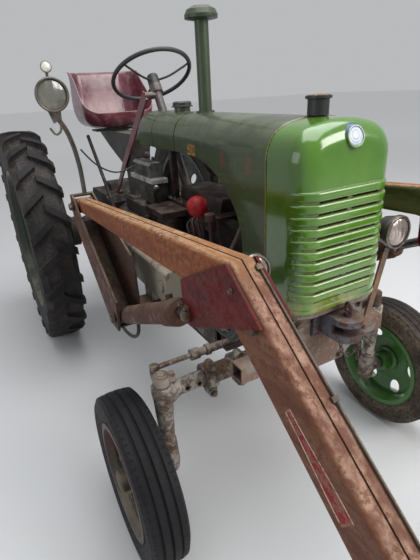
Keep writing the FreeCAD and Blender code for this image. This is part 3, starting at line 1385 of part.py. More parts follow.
# Rails that carry the masts on the engine's sides
def loader_rails():
    rails = []
    for side in (1, -1):
        rail = box(mast_foot_x - 240, engine_front - 20, side * engine_half_width,
                   side * (engine_half_width + rail_thickness), rail_z - rail_half_height,
                   rail_z + rail_half_height)
        hollow = box(mast_foot_x - 241, engine_front - 19, side * (engine_half_width + 10),
                     side * (engine_half_width + rail_thickness - 8), rail_z - rail_half_height + 8,
                     rail_z + rail_half_height - 8)
        rails.append(rail.cut(hollow))
    return Part.makeCompound(rails)


def cylinder_run():
    run = Vector(cylinder_head_x - cylinder_foot_x, 0, cylinder_head_z - cylinder_foot_z)
    return run.normalize()


# Barrel: closed foot end with its eye, tube, and a stepped gland block at the mouth
def cylinder_barrel(side):
    run = cylinder_run()
    y = side * arm_offset
    foot = Vector(cylinder_foot_x, y, cylinder_foot_z)
    mouth = foot + run * barrel_length
    tube = rod(foot + run * 22, mouth, barrel_radius)
    gland = turned([(0, -gland_length), (gland_radius, -gland_length), (gland_radius, -26),
                    (gland_radius - 5, -20),
                    (gland_radius - 5, -6), (gland_radius - 12, 0), (0, 0)], mouth, run)
    half = mast_half_gap - eye_side_gap
    eye = rod(foot - Y_AXIS * half, foot + Y_AXIS * half, foot_eye_radius)
    port = rod(mouth - run * 70, mouth - run * 70 + Vector(-run.z, 0, run.x) * (gland_radius + 14), 12)
    body = joined([tube, gland, eye, port])
    body = body.cut(rod(foot + run * 48, mouth + run * 5, rod_radius + running_clearance))
    return body.cut(rod(foot - Y_AXIS * 80, foot + Y_AXIS * 80, cylinder_pin_radius + running_clearance))


def cylinder_rod(side):
    run = cylinder_run()
    y = side * arm_offset
    foot = Vector(cylinder_foot_x, y, cylinder_foot_z)
    head = Vector(cylinder_head_x, y, cylinder_head_z)
    half = arm_width / 2 - eye_side_gap
    shaft = rod(foot + run * 125, head, rod_radius)
    eye = rod(head - Y_AXIS * half, head + Y_AXIS * half, eye_radius)
    return joined([shaft, eye])


# Oil tank of the loader on the beam of the right mast
def oil_tank():
    x0 = mast_foot_x - 320
    z0 = mast_bottom + 62 + fit_gap
    y0 = -oil_tank_outer
    y1 = -oil_tank_inner
    base = z0 + 50
    body = box(x0, x0 + oil_tank_length, y0, y1, base, base + oil_tank_height)
    body = body.makeFillet(16, [e for e in body.Edges if e.BoundBox.XLength > oil_tank_length - 1])
    cleats = [box(mast_foot_x - 115, mast_foot_x - 25, y, y + 40, z0, base + 20) for y in (y0 + 5, y1 - 45)]
    port = rod(Vector(x0 + 440, y0 - 8, base + 85), Vector(x0 + 440, y0 + 2, base + 85), 26)
    filler = Part.makeCylinder(24, 26, Vector(x0 + 90, (y0 + y1) / 2, base + oil_tank_height - 4), Z_AXIS)
    return joined([body, port, filler] + cleats)


# Work lamp with its mirror on a bent post that stands on the right mast
def work_lamp():
    x = pivot_x - lamp_post_setback
    y = lamp_post_side
    r = work_lamp_radius
    lamp = Vector(work_lamp_x, work_lamp_y, work_lamp_z)
    post = bent_tube([(x, y, pivot_z + lamp_shelf_rise + fit_gap), (x, y, pivot_z + 170),
                      (x + 2, y - 12, pivot_z + 270),
                      (x + 42, y - 40, pivot_z + 352), (lamp.x - 34, lamp.y + 12, lamp.z - r - 24),
                      (lamp.x - 34, lamp.y, lamp.z - r + 14)], lamp_post_radius, 0.4)
    shell = turned([(0, -72), (26, -69), (r - 14, -44), (r - 3, -8), (r, 0), (r, 20), (r - 7, 20), (r - 7, 9),
                    (0, 9)],
                   lamp, X_AXIS)
    bracket = polygon_yz([(lamp.y - 26, lamp.z - r + 16), (lamp.y + 34, lamp.z - r + 16),
                          (lamp.y + 30, lamp.z - r - 34),
                          (lamp.y - 6, lamp.z - r - 48)], lamp.x - 42, lamp.x - 30)
    hook = bent_tube([(lamp.x - 36, lamp.y + 26, lamp.z - r - 26),
                      (lamp.x - 36, lamp.y + 20, lamp.z - r - 84),
                      (lamp.x - 36, lamp.y - 6, lamp.z - r - 100),
                      (lamp.x - 36, lamp.y - 26, lamp.z - r - 66)], 5)
    stem = rod(Vector(lamp.x - 20, lamp.y, lamp.z + r - 16), Vector(lamp.x - 20, lamp.y, lamp.z + r + 26), 6)
    mirror = turned([(0, -7), (17, -6), (23, 0), (23, 5), (0, 5)],
                    Vector(lamp.x - 14, lamp.y, lamp.z + r + 40), X_AXIS)
    return joined([post, shell, bracket, hook, stem, mirror])


# Oil hose looped below the right mast, and the leads that run from the lamp to the fuse box
def hoses():
    plate_y = -arm_offset + mast_half_gap + mast_plate
    y = plate_y + hose_radius + 10
    x = mast_foot_x
    z = mast_bottom
    tank_y = -oil_tank_outer - fit_gap
    loop = bent_tube([(x - 250, tank_y - 6, z + 186), (x - 256, tank_y - 40, z + 184),
                      (x - 310, y - 4, z + 168),
                      (x - 410, y, z + 112), (x - 495, y, z + 20), (x - 548, y, z - 86),
                      (x - 510, y, z - 182),
                      (x - 415, y, z - 224), (x - 300, y, z - 226), (x - 185, y, z - 196),
                      (x - 100, y, z - 138),
                      (x - 70, y, z - 76), (x - 70, y, z - 16)], hose_radius)
    elbow = rod(Vector(x - 250, tank_y, z + 186), Vector(x - 250, tank_y - 24, z + 186), hose_radius + 5)
    union = rod(Vector(x - 70, y, z - 46), Vector(x - 70, y, z - fit_gap), hose_radius + 5)
    post_x = pivot_x - lamp_post_setback
    post_y = lamp_post_side + lamp_post_radius + fit_gap + lamp_lead_radius
    fuse_x = engine_rear - bell_length + 22
    fuse_y = -bell_half_width - 12
    fuse_z = rear_axle_z + bell_rise + 240
    lead = bent_tube([(post_x + 6, post_y, pivot_z + 262), (post_x - 6, post_y + 44, pivot_z + 200),
                      (post_x - 16, post_y + 105, pivot_z + 150), (post_x - 14, post_y + 175, pivot_z + 122),
                      (fuse_x - 40, fuse_y + 24, fuse_z), (fuse_x - fit_gap, fuse_y + 24, fuse_z)],
                     lamp_lead_radius)
    return Part.makeCompound([joined([loop, elbow, union]), lead])


def drop_arm():
    x = drop_arm_x
    y = drop_arm_side
    z = drop_arm_z
    low = drag_link_z
    t = drop_arm_thickness
    arm = polygon_xz([(x - 24, z), (x + 24, z), (x + 15, low), (x - 15, low)], y, y + t)
    head = rod(Vector(x, y, z), Vector(x, y + t, z), 28)
    foot = rod(Vector(x, y, low), Vector(x, y + t, low), 19)
    shaft = rod(Vector(x, 96 + fit_gap, z), Vector(x, y + t + 10, z), 18)
    return joined([arm, head, foot, shaft])


def drag_link():
    x0 = drop_arm_x
    y0 = drop_arm_side + drop_arm_thickness + fit_gap
    z = drag_link_z
    x1 = wheelbase
    y1 = kingpin_offset - drag_arm_length
    half = joint_end_height / 2
    end = rod(Vector(x1, y1, z - half), Vector(x1, y1, z + half), joint_end_radius)
    link = rod(Vector(x0, y0 + 14, z), Vector(x1, y1, z), tie_rod_radius + 1)
    socket = rod(Vector(x0, y0, z), Vector(x0, y0 + 28, z), joint_end_radius)
    return joined([end, link, socket])


# Drawbar below the rear axle, with its pin hole behind
def drawbar():
    z = rear_axle_z - housing_drop
    half = 38.0
    plate = box(-390, 120, -half, half, z - 60, z - 38)
    round_end = rod(Vector(-390, 0, z - 60), Vector(-390, 0, z - 38), half)
    plate = joined([plate, round_end]).cut(rod(Vector(-385, 0, z - 100), Vector(-385, 0, z), 15.5))
    beam = box(-170, -130, -housing_half_width, housing_half_width, z - 38, z - fit_gap)
    front = box(60, 110, -60, 60, z - 38, z - fit_gap)
    return joined([plate, beam, front])


save("rear_housing", rear_housing())
save("gearbox", gearbox())
save("engine_block", engine_block())
save("engine_dress", engine_dress())
save("manifold", manifold())
save("radiator", radiator())
save("front_bolster", front_bolster())
save("front_hitch", front_hitch())
save("front_axle", front_axle())
save("axle_ends", Part.makeCompound([axle_end(1), axle_end(-1)]))
save("tie_rod", tie_rod())
save("drop_arm", drop_arm())
save("drag_link", drag_link())
save("drawbar", drawbar())
save("bonnet", bonnet())
save("rear_cowl", rear_cowl())
save("fuel_tank", fuel_tank())
save("caps", caps())
save("nose_cowl", nose_cowl())
save("exhaust_stack", exhaust_stack())
save("headlights", headlights())
save("steering_column", steering_column())
save("steering_wheel", steering_wheel())
save("seat_pan", seat_pan())
save("seat_carrier", seat_carrier())
save("controls", controls())
save("valve_block", valve_block())
save("work_lamp", work_lamp())
save("oil_tank", oil_tank())
save("masts", Part.makeCompound([mast(1), mast(-1)]))
save("loader_rails", loader_rails())
save("loader_boom", loader_boom())
save("boom_hoses", boom_hoses())
save("hoses", hoses())
for hand, side in (("left", 1), ("right", -1)):
    save("rear_tyre_" + hand, rear_tyre(side))
    save("rear_wheel_" + hand, rear_wheel(side))
    save("front_tyre_" + hand, front_tyre(side))
    save("front_wheel_" + hand, front_wheel(side))
    save("knuckle_" + hand, knuckle(side))
    save("cylinder_barrel_" + hand, cylinder_barrel(side))
    save("cylinder_rod_" + hand, cylinder_rod(side))
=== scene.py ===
import bpy
import bmesh
import math
from mathutils import Matrix, Vector


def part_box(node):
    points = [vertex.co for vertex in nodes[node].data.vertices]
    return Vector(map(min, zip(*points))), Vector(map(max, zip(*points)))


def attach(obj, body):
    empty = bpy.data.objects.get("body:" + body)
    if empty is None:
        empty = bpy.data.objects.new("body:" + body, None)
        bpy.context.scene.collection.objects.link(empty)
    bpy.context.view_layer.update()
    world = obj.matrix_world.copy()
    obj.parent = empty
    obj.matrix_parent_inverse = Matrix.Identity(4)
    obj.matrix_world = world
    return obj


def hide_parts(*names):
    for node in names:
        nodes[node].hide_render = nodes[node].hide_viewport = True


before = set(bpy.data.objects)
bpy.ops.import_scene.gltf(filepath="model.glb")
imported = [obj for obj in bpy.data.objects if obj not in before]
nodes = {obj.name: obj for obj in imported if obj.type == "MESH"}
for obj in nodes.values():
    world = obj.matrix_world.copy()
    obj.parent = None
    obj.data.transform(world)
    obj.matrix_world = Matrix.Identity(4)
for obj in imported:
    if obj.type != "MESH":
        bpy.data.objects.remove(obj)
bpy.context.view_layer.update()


# Stations: metres ahead of the rear axle, to the left and above the floor

def node_centre(name):
    low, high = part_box(name)
    return (Vector(low) + Vector(high)) / 2


rear_axle = node_centre("rear_tyre_right")

nose_seam = 2.075
nose_front = 2.237
nose_bottom = 0.965
crown_height = 1.530
bonnet_half_width = 0.183
cowl_half_width = 0.128
cowl_seam = 1.065
beam_x = 1.945
beam_z = 0.640
arm_y = 0.485
arm_half_width = 0.035
arm_pivot = (0.975, 1.122)
arm_elbow = (2.400, 1.286)
arm_angle = math.radians(37.5)
cylinder_head = (2.205, 1.075)
cylinder_foot = (1.455, 0.715)
front_tube = (2.120, 0.752)
headlight = (2.170, 0.306, 1.131)
headlight_radius = 0.058
work_lamp = (1.050, -0.560, 1.628)
work_lamp_radius = 0.068
rear_wheel_y = 0.625
rear_radius = 0.716
front_wheel_y = 0.670
front_radius = 0.320


def at(x, y, z):
    return Vector((rear_axle.x + x, y, z))


# Camera: fitted to the photograph's wheels, bonnet seams and arms

camera_station = (3.098, -0.938, 1.618)
camera_yaw = math.radians(61.77)
camera_pitch = math.radians(24.38)
camera_roll = math.radians(3.04)
focal_pixels = 420.7
frame_height = 560.0
sensor_size = 36.0


def make_camera():
    data = bpy.data.cameras.new("camera")
    data.sensor_fit = "AUTO"
    data.sensor_width = sensor_size
    data.lens = focal_pixels / frame_height * sensor_size
    data.clip_end = 200
    look = Vector((-math.sin(camera_yaw) * math.cos(camera_pitch),
                   math.cos(camera_yaw) * math.cos(camera_pitch),
                   -math.sin(camera_pitch)))
    level = Vector((math.cos(camera_yaw), math.sin(camera_yaw), 0))
    down = look.cross(level)
    right = level * math.cos(camera_roll) + down * math.sin(camera_roll)
    below = -level * math.sin(camera_roll) + down * math.cos(camera_roll)
    turn = Matrix((right, -below, -look)).transposed().to_4x4()
    camera = bpy.data.objects.new("camera", data)
    camera.matrix_world = Matrix.Translation(at(*camera_station)) @ turn
    bpy.context.scene.collection.objects.link(camera)
    bpy.context.scene.camera = camera


# Shader building

def tone(red, green, blue):
    # a colour given in 0 to 255 as it looks on screen
    def linear(value):
        value /= 255
        return value / 12.92 if value <= 0.04045 else ((value + 0.055) / 1.055) ** 2.4
    return linear(red), linear(green), linear(blue), 1.0


class Shader:
    """The node tree of one material, built from the surface's own place and facing."""

    def __init__(self, name):
        self.material = bpy.data.materials.new(name)
        self.material.use_nodes = True
        self.tree = self.material.node_tree
        self.tree.nodes.clear()
        output = self.add("ShaderNodeOutputMaterial")
        self.surface = self.add("ShaderNodeBsdfPrincipled")
        self.join(self.surface.outputs[0], output.inputs["Surface"])
        coordinates = self.add("ShaderNodeTexCoord")
        self.place = coordinates.outputs["Object"]
        self.facing = coordinates.outputs["Normal"]
        self.heights = []

    def add(self, kind, **settings):
        node = self.tree.nodes.new(kind)
        for key, value in settings.items():
            setattr(node, key, value)
        return node

    def join(self, source, target):
        self.tree.links.new(source, target)

    def feed(self, socket, value):
        if isinstance(value, bpy.types.NodeSocket):
            self.join(value, socket)
        else:
            socket.default_value = value

    def math(self, operation, first, second=0.0, clamp=False):
        node = self.add("ShaderNodeMath", operation=operation, use_clamp=clamp)
        self.feed(node.inputs[0], first)
        self.feed(node.inputs[1], second)
        return node.outputs[0]

    def moved(self, shift=(0, 0, 0), scale=(1, 1, 1), turn=(0, 0, 0)):
        node = self.add("ShaderNodeMapping", vector_type="POINT")
        self.join(self.place, node.inputs["Vector"])
        node.inputs["Location"].default_value = shift
        node.inputs["Scale"].default_value = scale
        node.inputs["Rotation"].default_value = turn
        return node.outputs[0]

    def noise(self, scale, detail=4.0, roughness=0.55, bend=0.0, place=None):
        node = self.add("ShaderNodeTexNoise")
        self.join(place or self.place, node.inputs["Vector"])
        node.inputs["Scale"].default_value = scale
        node.inputs["Detail"].default_value = detail
        node.inputs["Roughness"].default_value = roughness
        node.inputs["Distortion"].default_value = bend
        return node.outputs[0]

    def cells(self, scale, feature="F1", place=None):
        node = self.add("ShaderNodeTexVoronoi", feature=feature)
        self.join(place or self.place, node.inputs["Vector"])
        node.inputs["Scale"].default_value = scale
        return node.outputs["Distance"]

    def waves(self, scale, direction="X", bend=0.0, place=None):
        node = self.add("ShaderNodeTexWave", bands_direction=direction)
        self.join(place or self.place, node.inputs["Vector"])
        node.inputs["Scale"].default_value = scale
        node.inputs["Distortion"].default_value = bend
        return node.outputs["Fac"]

    def span(self, value, low, high, start=0.0, end=1.0):
        # start below low, end above high and a smooth step between
        node = self.add("ShaderNodeMapRange", interpolation_type="SMOOTHSTEP")
        self.feed(node.inputs["Value"], value)
        node.inputs["From Min"].default_value = low
        node.inputs["From Max"].default_value = high
        node.inputs["To Min"].default_value = start
        node.inputs["To Max"].default_value = end
        return node.outputs["Result"]

    def axis(self, name, vector=None):
        node = self.add("ShaderNodeSeparateXYZ")
        self.join(vector or self.place, node.inputs[0])
        return node.outputs[name]

    def upward(self, low=0.35, high=0.9):
        return self.span(self.axis("Z", self.facing), low, high)

    def length(self, vector):
        node = self.add("ShaderNodeVectorMath", operation="LENGTH")
        self.join(vector, node.inputs[0])
        return node.outputs["Value"]

    def near(self, point, reach, soft=0.003, place=None):
        # one inside a ball round the point
        node = self.add("ShaderNodeVectorMath", operation="DISTANCE")
        self.join(place or self.place, node.inputs[0])
        node.inputs[1].default_value = point
        return self.span(node.outputs["Value"], reach - soft, reach + soft, 1.0, 0.0)

    def inside(self, value, low, high, soft=0.002):
        # one between two levels
        return self.times(self.span(value, low - soft, low + soft),
                          self.span(value, high - soft, high + soft, 1.0, 0.0))

    def times(self, first, second):
        return self.math("MULTIPLY", first, second)

    def both(self, *masks):
        product = masks[0]
        for mask in masks[1:]:
            product = self.times(product, mask)
        return product

    def edges(self, radius=0.004, low=0.02, high=0.25):
        # one near an outer or inner edge, from how far a rounded normal leaves the flat one
        rounded = self.add("ShaderNodeBevel", samples=4)
        rounded.inputs["Radius"].default_value = radius
        plain = self.add("ShaderNodeNewGeometry")
        dot = self.add("ShaderNodeVectorMath", operation="DOT_PRODUCT")
        self.join(rounded.outputs[0], dot.inputs[0])
        self.join(plain.outputs["Normal"], dot.inputs[1])
        return self.span(self.math("SUBTRACT", 1.0, dot.outputs["Value"]), low, high)

    def hollows(self, reach=0.06, low=0.35, high=0.85):
        # one in a corner or recess
        node = self.add("ShaderNodeAmbientOcclusion", samples=4)
        node.inputs["Distance"].default_value = reach
        return self.span(node.outputs["AO"], low, high, 1.0, 0.0)

    def mix(self, mask, first, second):
        node = self.add("ShaderNodeMix", data_type="RGBA")
        self.feed(node.inputs["Factor"], mask)
        self.feed(node.inputs[6], first)
        self.feed(node.inputs[7], second)
        return node.outputs[2]

    def blend(self, mask, first, second):
        node = self.add("ShaderNodeMix", data_type="FLOAT")
        self.feed(node.inputs["Factor"], mask)
        self.feed(node.inputs[2], first)
        self.feed(node.inputs[3], second)
        return node.outputs[0]

    def raise_by(self, height, distance):
        # adds one layer of relief, in metres
        self.heights.append((height, distance))

    def finish(self, colour, roughness=0.5, metallic=0.0, coat=0.0, coat_roughness=0.1, specular=0.5,
               soft_edge=0.0):
        surface = self.surface
        self.feed(surface.inputs["Base Color"], colour)
        self.feed(surface.inputs["Roughness"], roughness)
        self.feed(surface.inputs["Metallic"], metallic)
        surface.inputs["Coat Weight"].default_value = coat
        surface.inputs["Coat Roughness"].default_value = coat_roughness
        surface.inputs["Specular IOR Level"].default_value = specular
        normal = None
        if soft_edge:
            rounded = self.add("ShaderNodeBevel", samples=4)
            rounded.inputs["Radius"].default_value = soft_edge
            normal = rounded.outputs[0]
        for height, distance in self.heights:
            bump = self.add("ShaderNodeBump")
            bump.inputs["Strength"].default_value = 1.0
            bump.inputs["Distance"].default_value = distance
            self.join(height, bump.inputs["Height"])
            if normal:
                self.join(normal, bump.inputs["Normal"])
            normal = bump.outputs[0]
        if normal:
            self.join(normal, surface.inputs["Normal"])
        return self.material


# Finishes

# nicks round a tyre in radians per radian, rings on walls and medallion in radians per metre
shoulder_nicks = 76.0
wall_rings = 620.0
medallion_rings = 1100.0


def enamel(name, base, shade, chip, dust=0.25, wear=0.5, roughness=0.2, coat=0.5, dirt=tone(34, 30, 24),
           marks=None):
    """Sprayed enamel that has faded in patches, chipped at its edges, caught dust on top and darkened in its
    hollows with grime and painted shade.
    """
    s = Shader(name)
    cloud = s.noise(3.1, detail=6, roughness=0.6)
    fine = s.noise(46, detail=5, roughness=0.7)
    colour = s.mix(s.span(cloud, 0.35, 0.68), shade, base)
    film = s.times(s.upward(0.2, 0.95), s.span(s.noise(9, detail=8, roughness=0.7), 0.3, 0.75))
    film = s.times(film, dust)
    specks = s.span(s.noise(160, detail=3), 0.62, 0.72, 0.0, 0.35 * dust)
    film = s.math("MAXIMUM", film, specks)
    colour = s.mix(film, colour, tone(150, 146, 130))
    worn = s.times(s.edges(0.005), s.span(fine, 0.42, 0.62))
    speckle = s.math("ADD", s.noise(24, detail=7, roughness=0.75), s.times(cloud, 0.25))
    spots = s.span(speckle, 0.78, 0.81)
    chips = s.math("MULTIPLY", s.math("MAXIMUM", worn, spots), wear, clamp=True)
    colour = s.mix(chips, colour, chip)
    # dark grime and painted shade in corners and recesses; the nose passes a tan dirt colour instead
    hollow_grime_and_shade = s.both(s.hollows(0.03), s.span(s.noise(14, detail=6), 0.3, 0.6))
    colour = s.mix(s.times(hollow_grime_and_shade, 0.7), colour, dirt)
    if marks:
        colour = marks(s, colour)
    rough = s.blend(film, s.span(s.noise(30, detail=4), 0.3, 0.7, roughness, roughness + 0.12), 0.75)
    rough = s.blend(chips, rough, 0.7)
    s.raise_by(s.times(chips, -1.0), 0.0006)
    s.raise_by(s.noise(2.2, detail=2), 0.004)
    s.raise_by(s.noise(240, detail=3), 0.00025)
    return s.finish(colour, rough, coat=coat, coat_roughness=0.08, soft_edge=0.003)


def cast_iron(name, base, dark, rust, oil=0.6):
    """Rough castings under old paint, oil and baked dirt, with painted shade in the hollows."""
    s = Shader(name)
    cloud = s.noise(7, detail=8, roughness=0.65)
    colour = s.mix(s.span(cloud, 0.35, 0.65), dark, base)
    rusty = s.times(s.span(s.noise(19, detail=8, roughness=0.72), 0.52, 0.66), s.span(cloud, 0.3, 0.55))
    colour = s.mix(s.times(rusty, 0.8), colour, rust)
    # painted shade: near black in the hollows and corners
    colour = s.mix(s.times(s.hollows(0.08), 0.85), colour, tone(16, 13, 13))
    bare = s.times(s.edges(0.005), s.span(s.noise(60, detail=4), 0.45, 0.6))
    colour = s.mix(s.times(bare, 0.55), colour, tone(104, 92, 82))
    dust = s.times(s.upward(0.4, 0.95), s.span(s.noise(26, detail=7), 0.4, 0.65))
    colour = s.mix(s.times(dust, 0.55), colour, tone(112, 98, 82))
    wet = s.span(s.noise(4.3, detail=5), 0.45, 0.62)
    rough = s.blend(s.times(wet, oil), 0.72, 0.28)
    s.raise_by(s.noise(130, detail=6, roughness=0.7), 0.0012)
    s.raise_by(s.noise(18, detail=3), 0.003)
    return s.finish(colour, rough, soft_edge=0.005)


def rusted(name, base, light, dark, remains, remain_share, dust=0.4):
    """Steel that has rusted, with what is left of its paint, and painted shade in its hollows."""
    s = Shader(name)
    broad = s.noise(4, detail=8, roughness=0.62)
    fine = s.noise(38, detail=8, roughness=0.75)
    colour = s.mix(s.span(broad, 0.34, 0.66), dark, base)
    colour = s.mix(s.span(fine, 0.5, 0.68), colour, light)
    ragged = s.math("ADD", s.times(broad, 0.65), s.times(fine, 0.45))
    left = s.span(ragged, 0.6 - 0.1 * remain_share, 0.625 - 0.1 * remain_share)
    left = s.times(left, s.math("SUBTRACT", 1.0, s.edges(0.006), clamp=True))
    colour = s.mix(left, colour, remains)
    s.raise_by(left, 0.0009)
    film = s.times(s.upward(0.3, 0.95), s.span(s.noise(17, detail=8, roughness=0.7), 0.32, 0.62))
    colour = s.mix(s.times(film, dust), colour, tone(148, 128, 108))
    # painted shade: near black in the hollows and corners
    colour = s.mix(s.times(s.hollows(0.07), 0.75), colour, tone(26, 18, 14))
    rough = s.blend(left, s.span(fine, 0.3, 0.7, 0.66, 0.9), 0.5)
    s.raise_by(s.noise(190, detail=6, roughness=0.72), 0.0009)
    s.raise_by(broad, 0.002)
    return s.finish(colour, rough, soft_edge=0.004)


def tyre_rubber(name, centre, tread_radius, half_width, base, dust_colour, dust, rim_radius, nicks=0.0):
    """Rubber with rings on its walls, dust in the tread and short nicks across its shoulders."""
    s = Shader(name)
    place = s.moved(shift=(-centre.x, -centre.y, -centre.z))
    flat = s.add("ShaderNodeCombineXYZ")
    s.join(s.axis("X", place), flat.inputs[0])
    s.join(s.axis("Z", place), flat.inputs[1])
    radius = s.length(flat.outputs[0])
    across = s.math("ABSOLUTE", s.axis("Y", place))
    cloud = s.noise(5, detail=7, roughness=0.6)
    fine = s.noise(70, detail=6, roughness=0.7)
    colour = s.mix(s.span(cloud, 0.3, 0.7), base, tuple(c * 1.7 for c in base[:3]) + (1.0,))
    wall = s.span(across, half_width * 0.62, half_width * 0.8)
    in_wall = s.times(wall, s.span(radius, tread_radius * 0.9, tread_radius * 0.94, 1.0, 0.0))
    tread = s.math("SUBTRACT", 1.0, in_wall, clamp=True)
    cover = s.times(s.span(cloud, 0.25, 0.7), s.span(fine, 0.3, 0.6))
    low = s.span(radius, tread_radius * 0.955, tread_radius * 0.995, 1.0, 0.25)
    film = s.times(s.times(cover, low), dust)
    corner = s.times(s.hollows(0.05, 0.3, 0.9), dust * 0.9)
    film = s.math("MAXIMUM", film, s.times(corner, s.span(fine, 0.25, 0.55)), clamp=True)
    colour = s.mix(film, colour, dust_colour)
    rings = s.math("SINE", s.times(radius, wall_rings))
    ring_zone = s.times(in_wall, s.span(radius, rim_radius * 1.1, rim_radius * 1.18))
    ring_zone = s.times(ring_zone, s.span(radius, rim_radius * 1.3, rim_radius * 1.36, 1.0, 0.0))
    s.raise_by(s.times(rings, ring_zone), 0.0014)
    if nicks:
        turn = s.math("ARCTAN2", s.axis("X", place), s.axis("Z", place))
        saw = s.math("SINE", s.times(turn, shoulder_nicks))
        shoulder = s.both(s.inside(across, half_width * 0.72, half_width * 1.02, 0.004),
                          s.span(radius, tread_radius * 0.93, tread_radius * 0.95))
        s.raise_by(s.both(s.span(saw, 0.55, 0.85), shoulder), -nicks)
    cracks = s.cells(95, feature="DISTANCE_TO_EDGE")
    s.raise_by(s.times(s.span(cracks, 0.0, 0.06), in_wall), 0.0006)
    s.raise_by(s.times(s.noise(120, detail=5), s.blend(tread, 0.4, 1.0)), 0.0012)
    rough = s.blend(film, s.span(fine, 0.3, 0.7, 0.5, 0.7), 0.95)
    return s.finish(colour, rough, specular=0.2, soft_edge=0.005)


def plain_black(name, base=(0.012, 0.012, 0.012, 1), roughness=0.35, grain=220, dust=0.3, coat=0.0):
    """Black enamel, plastic or rubber with a film of dust."""
    s = Shader(name)
    cloud = s.noise(11, detail=6)
    colour = s.mix(s.span(cloud, 0.35, 0.7), base, tuple(c * 2.4 for c in base[:3]) + (1.0,))
    film = s.times(s.upward(0.2, 0.95), s.span(s.noise(40, detail=6), 0.35, 0.65))
    colour = s.mix(s.times(film, dust), colour, tone(132, 124, 112))
    worn = s.times(s.edges(0.003), s.span(s.noise(90, detail=4), 0.5, 0.62))
    colour = s.mix(s.times(worn, 0.4), colour, tone(92, 84, 76))
    rough = s.span(cloud, 0.3, 0.7, roughness, roughness + 0.2)
    s.raise_by(s.noise(grain, detail=4), 0.0003)
    return s.finish(colour, rough, coat=coat, soft_edge=0.002)


def bright_steel(name, base, roughness, stain_share=0.4):
    """Ground or plated steel with oil and brown stains."""
    s = Shader(name)
    lines = s.noise(40, detail=6, place=s.moved(scale=(1, 14, 14)))
    stains = s.span(s.noise(16, detail=8, roughness=0.7), 0.5, 0.66, 0.0, stain_share)
    colour = s.mix(s.span(lines, 0.3, 0.7), base, tuple(c * 0.72 for c in base[:3]) + (1.0,))
    colour = s.mix(stains, colour, tone(58, 44, 34))
    metallic = s.math("SUBTRACT", 1.0, s.times(stains, 0.8), clamp=True)
    rough = s.blend(stains, s.span(lines, 0.3, 0.7, roughness, roughness + 0.16), 0.6)
    s.raise_by(lines, 0.0002)
    return s.finish(colour, rough, metallic, soft_edge=0.002)


def flaking_paint(name):
    """Cream paint in scales over grey primer and rust, as on the front axle, with painted shade in the
    hollows.
    """
    s = Shader(name)
    broad = s.noise(8, detail=7, roughness=0.65)
    edge = s.noise(46, detail=8, roughness=0.75, bend=0.6)
    sum_ = s.math("ADD", s.times(broad, 0.6), s.times(edge, 0.5))
    primer = s.span(sum_, 0.49, 0.5)
    cream = s.span(sum_, 0.555, 0.562)
    rust = s.mix(s.span(s.noise(70, detail=6), 0.4, 0.6), tone(70, 52, 40), tone(104, 78, 58))
    grey = s.mix(s.span(edge, 0.4, 0.6), tone(92, 84, 78), tone(118, 108, 100))
    colour = s.mix(primer, rust, grey)
    colour = s.mix(cream, colour, s.mix(s.span(broad, 0.5, 0.7), tone(146, 136, 124), tone(176, 167, 154)))
    # painted shade: near black in the hollows and corners
    colour = s.mix(s.times(s.hollows(0.05), 0.8), colour, tone(30, 22, 18))
    rough = s.blend(cream, 0.8, 0.55)
    s.raise_by(s.math("ADD", primer, cream), 0.0007)
    s.raise_by(s.noise(160, detail=6), 0.0008)
    return s.finish(colour, rough, soft_edge=0.004)


def radiator_core(name):
    """Fins and tubes of a cooler behind a grille."""
    s = Shader(name)
    fins = s.waves(110, "Z", bend=0.4)
    tubes = s.waves(24, "Y")
    dirt = s.noise(14, detail=7)
    colour = s.mix(s.span(fins, 0.3, 0.7), tone(16, 15, 14), tone(58, 54, 48))
    colour = s.mix(s.times(s.span(dirt, 0.45, 0.65), 0.7), colour, tone(70, 60, 46))
    s.raise_by(fins, 0.003)
    s.raise_by(tubes, 0.002)
    return s.finish(colour, 0.6, 0.3)


def lamp_glass(name, tint, centre, radius, flutes=46.0, silver=0.5, painted_highlight=tone(236, 228, 218)):
    """Fluted glass over a silvered bowl, with painted highlights in patches and dust towards its rim."""
    s = Shader(name)
    place = s.moved(shift=(-centre.x, -centre.y, -centre.z))
    lines = s.math("SINE", s.times(s.axis("Y", place), flutes * 2 * math.pi))
    reach = s.length(place)
    # painted highlight: pale patches on the glass, strongest at its middle
    bright = s.both(s.span(s.noise(16, detail=3), 0.4, 0.62), s.span(reach, 0.0, radius, 1.0, 0.35))
    colour = s.mix(bright, tint, painted_highlight)
    edge = s.both(s.span(reach, radius * 0.8, radius), s.span(s.noise(60, detail=5), 0.3, 0.6))
    colour = s.mix(s.times(edge, 0.7), colour, tone(84, 74, 64))
    s.raise_by(lines, 0.0006)
    rough = s.span(s.noise(40, detail=5), 0.35, 0.7, 0.1, 0.3)
    return s.finish(colour, rough, silver, coat=1.0, coat_roughness=0.04, specular=0.6)


def floor_finish(name):
    s = Shader(name)
    cloud = s.noise(0.6, detail=4)
    colour = s.mix(cloud, (0.56, 0.56, 0.565, 1), (0.59, 0.59, 0.595, 1))
    colour = s.mix(s.span(s.length(s.place), 3.0, 16.0), colour, (0.90, 0.90, 0.905, 1))
    s.raise_by(s.noise(60, detail=4), 0.0006)
    return s.finish(colour, 0.8, specular=0.15)


# Piece building

def smooth(mesh, angle=35):
    for polygon in mesh.polygons:
        polygon.use_smooth = True
    mesh.set_sharp_from_angle(angle=math.radians(angle))


def piece(name, body, material, build, angle=35):
    """One joined mesh that build(bm) fills, riding on a body."""
    bm = bmesh.new()
    build(bm)
    mesh = bpy.data.meshes.new(name)
    bm.to_mesh(mesh)
    bm.free()
    mesh.materials.append(material)
    smooth(mesh, angle)
    made = bpy.data.objects.new(name, mesh)
    bpy.context.scene.collection.objects.link(made)
    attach(made, body)
    return made


def frame_of(direction):
    # a turn that takes Z to the direction
    return direction.normalized().to_track_quat("Z", "Y").to_matrix().to_4x4()


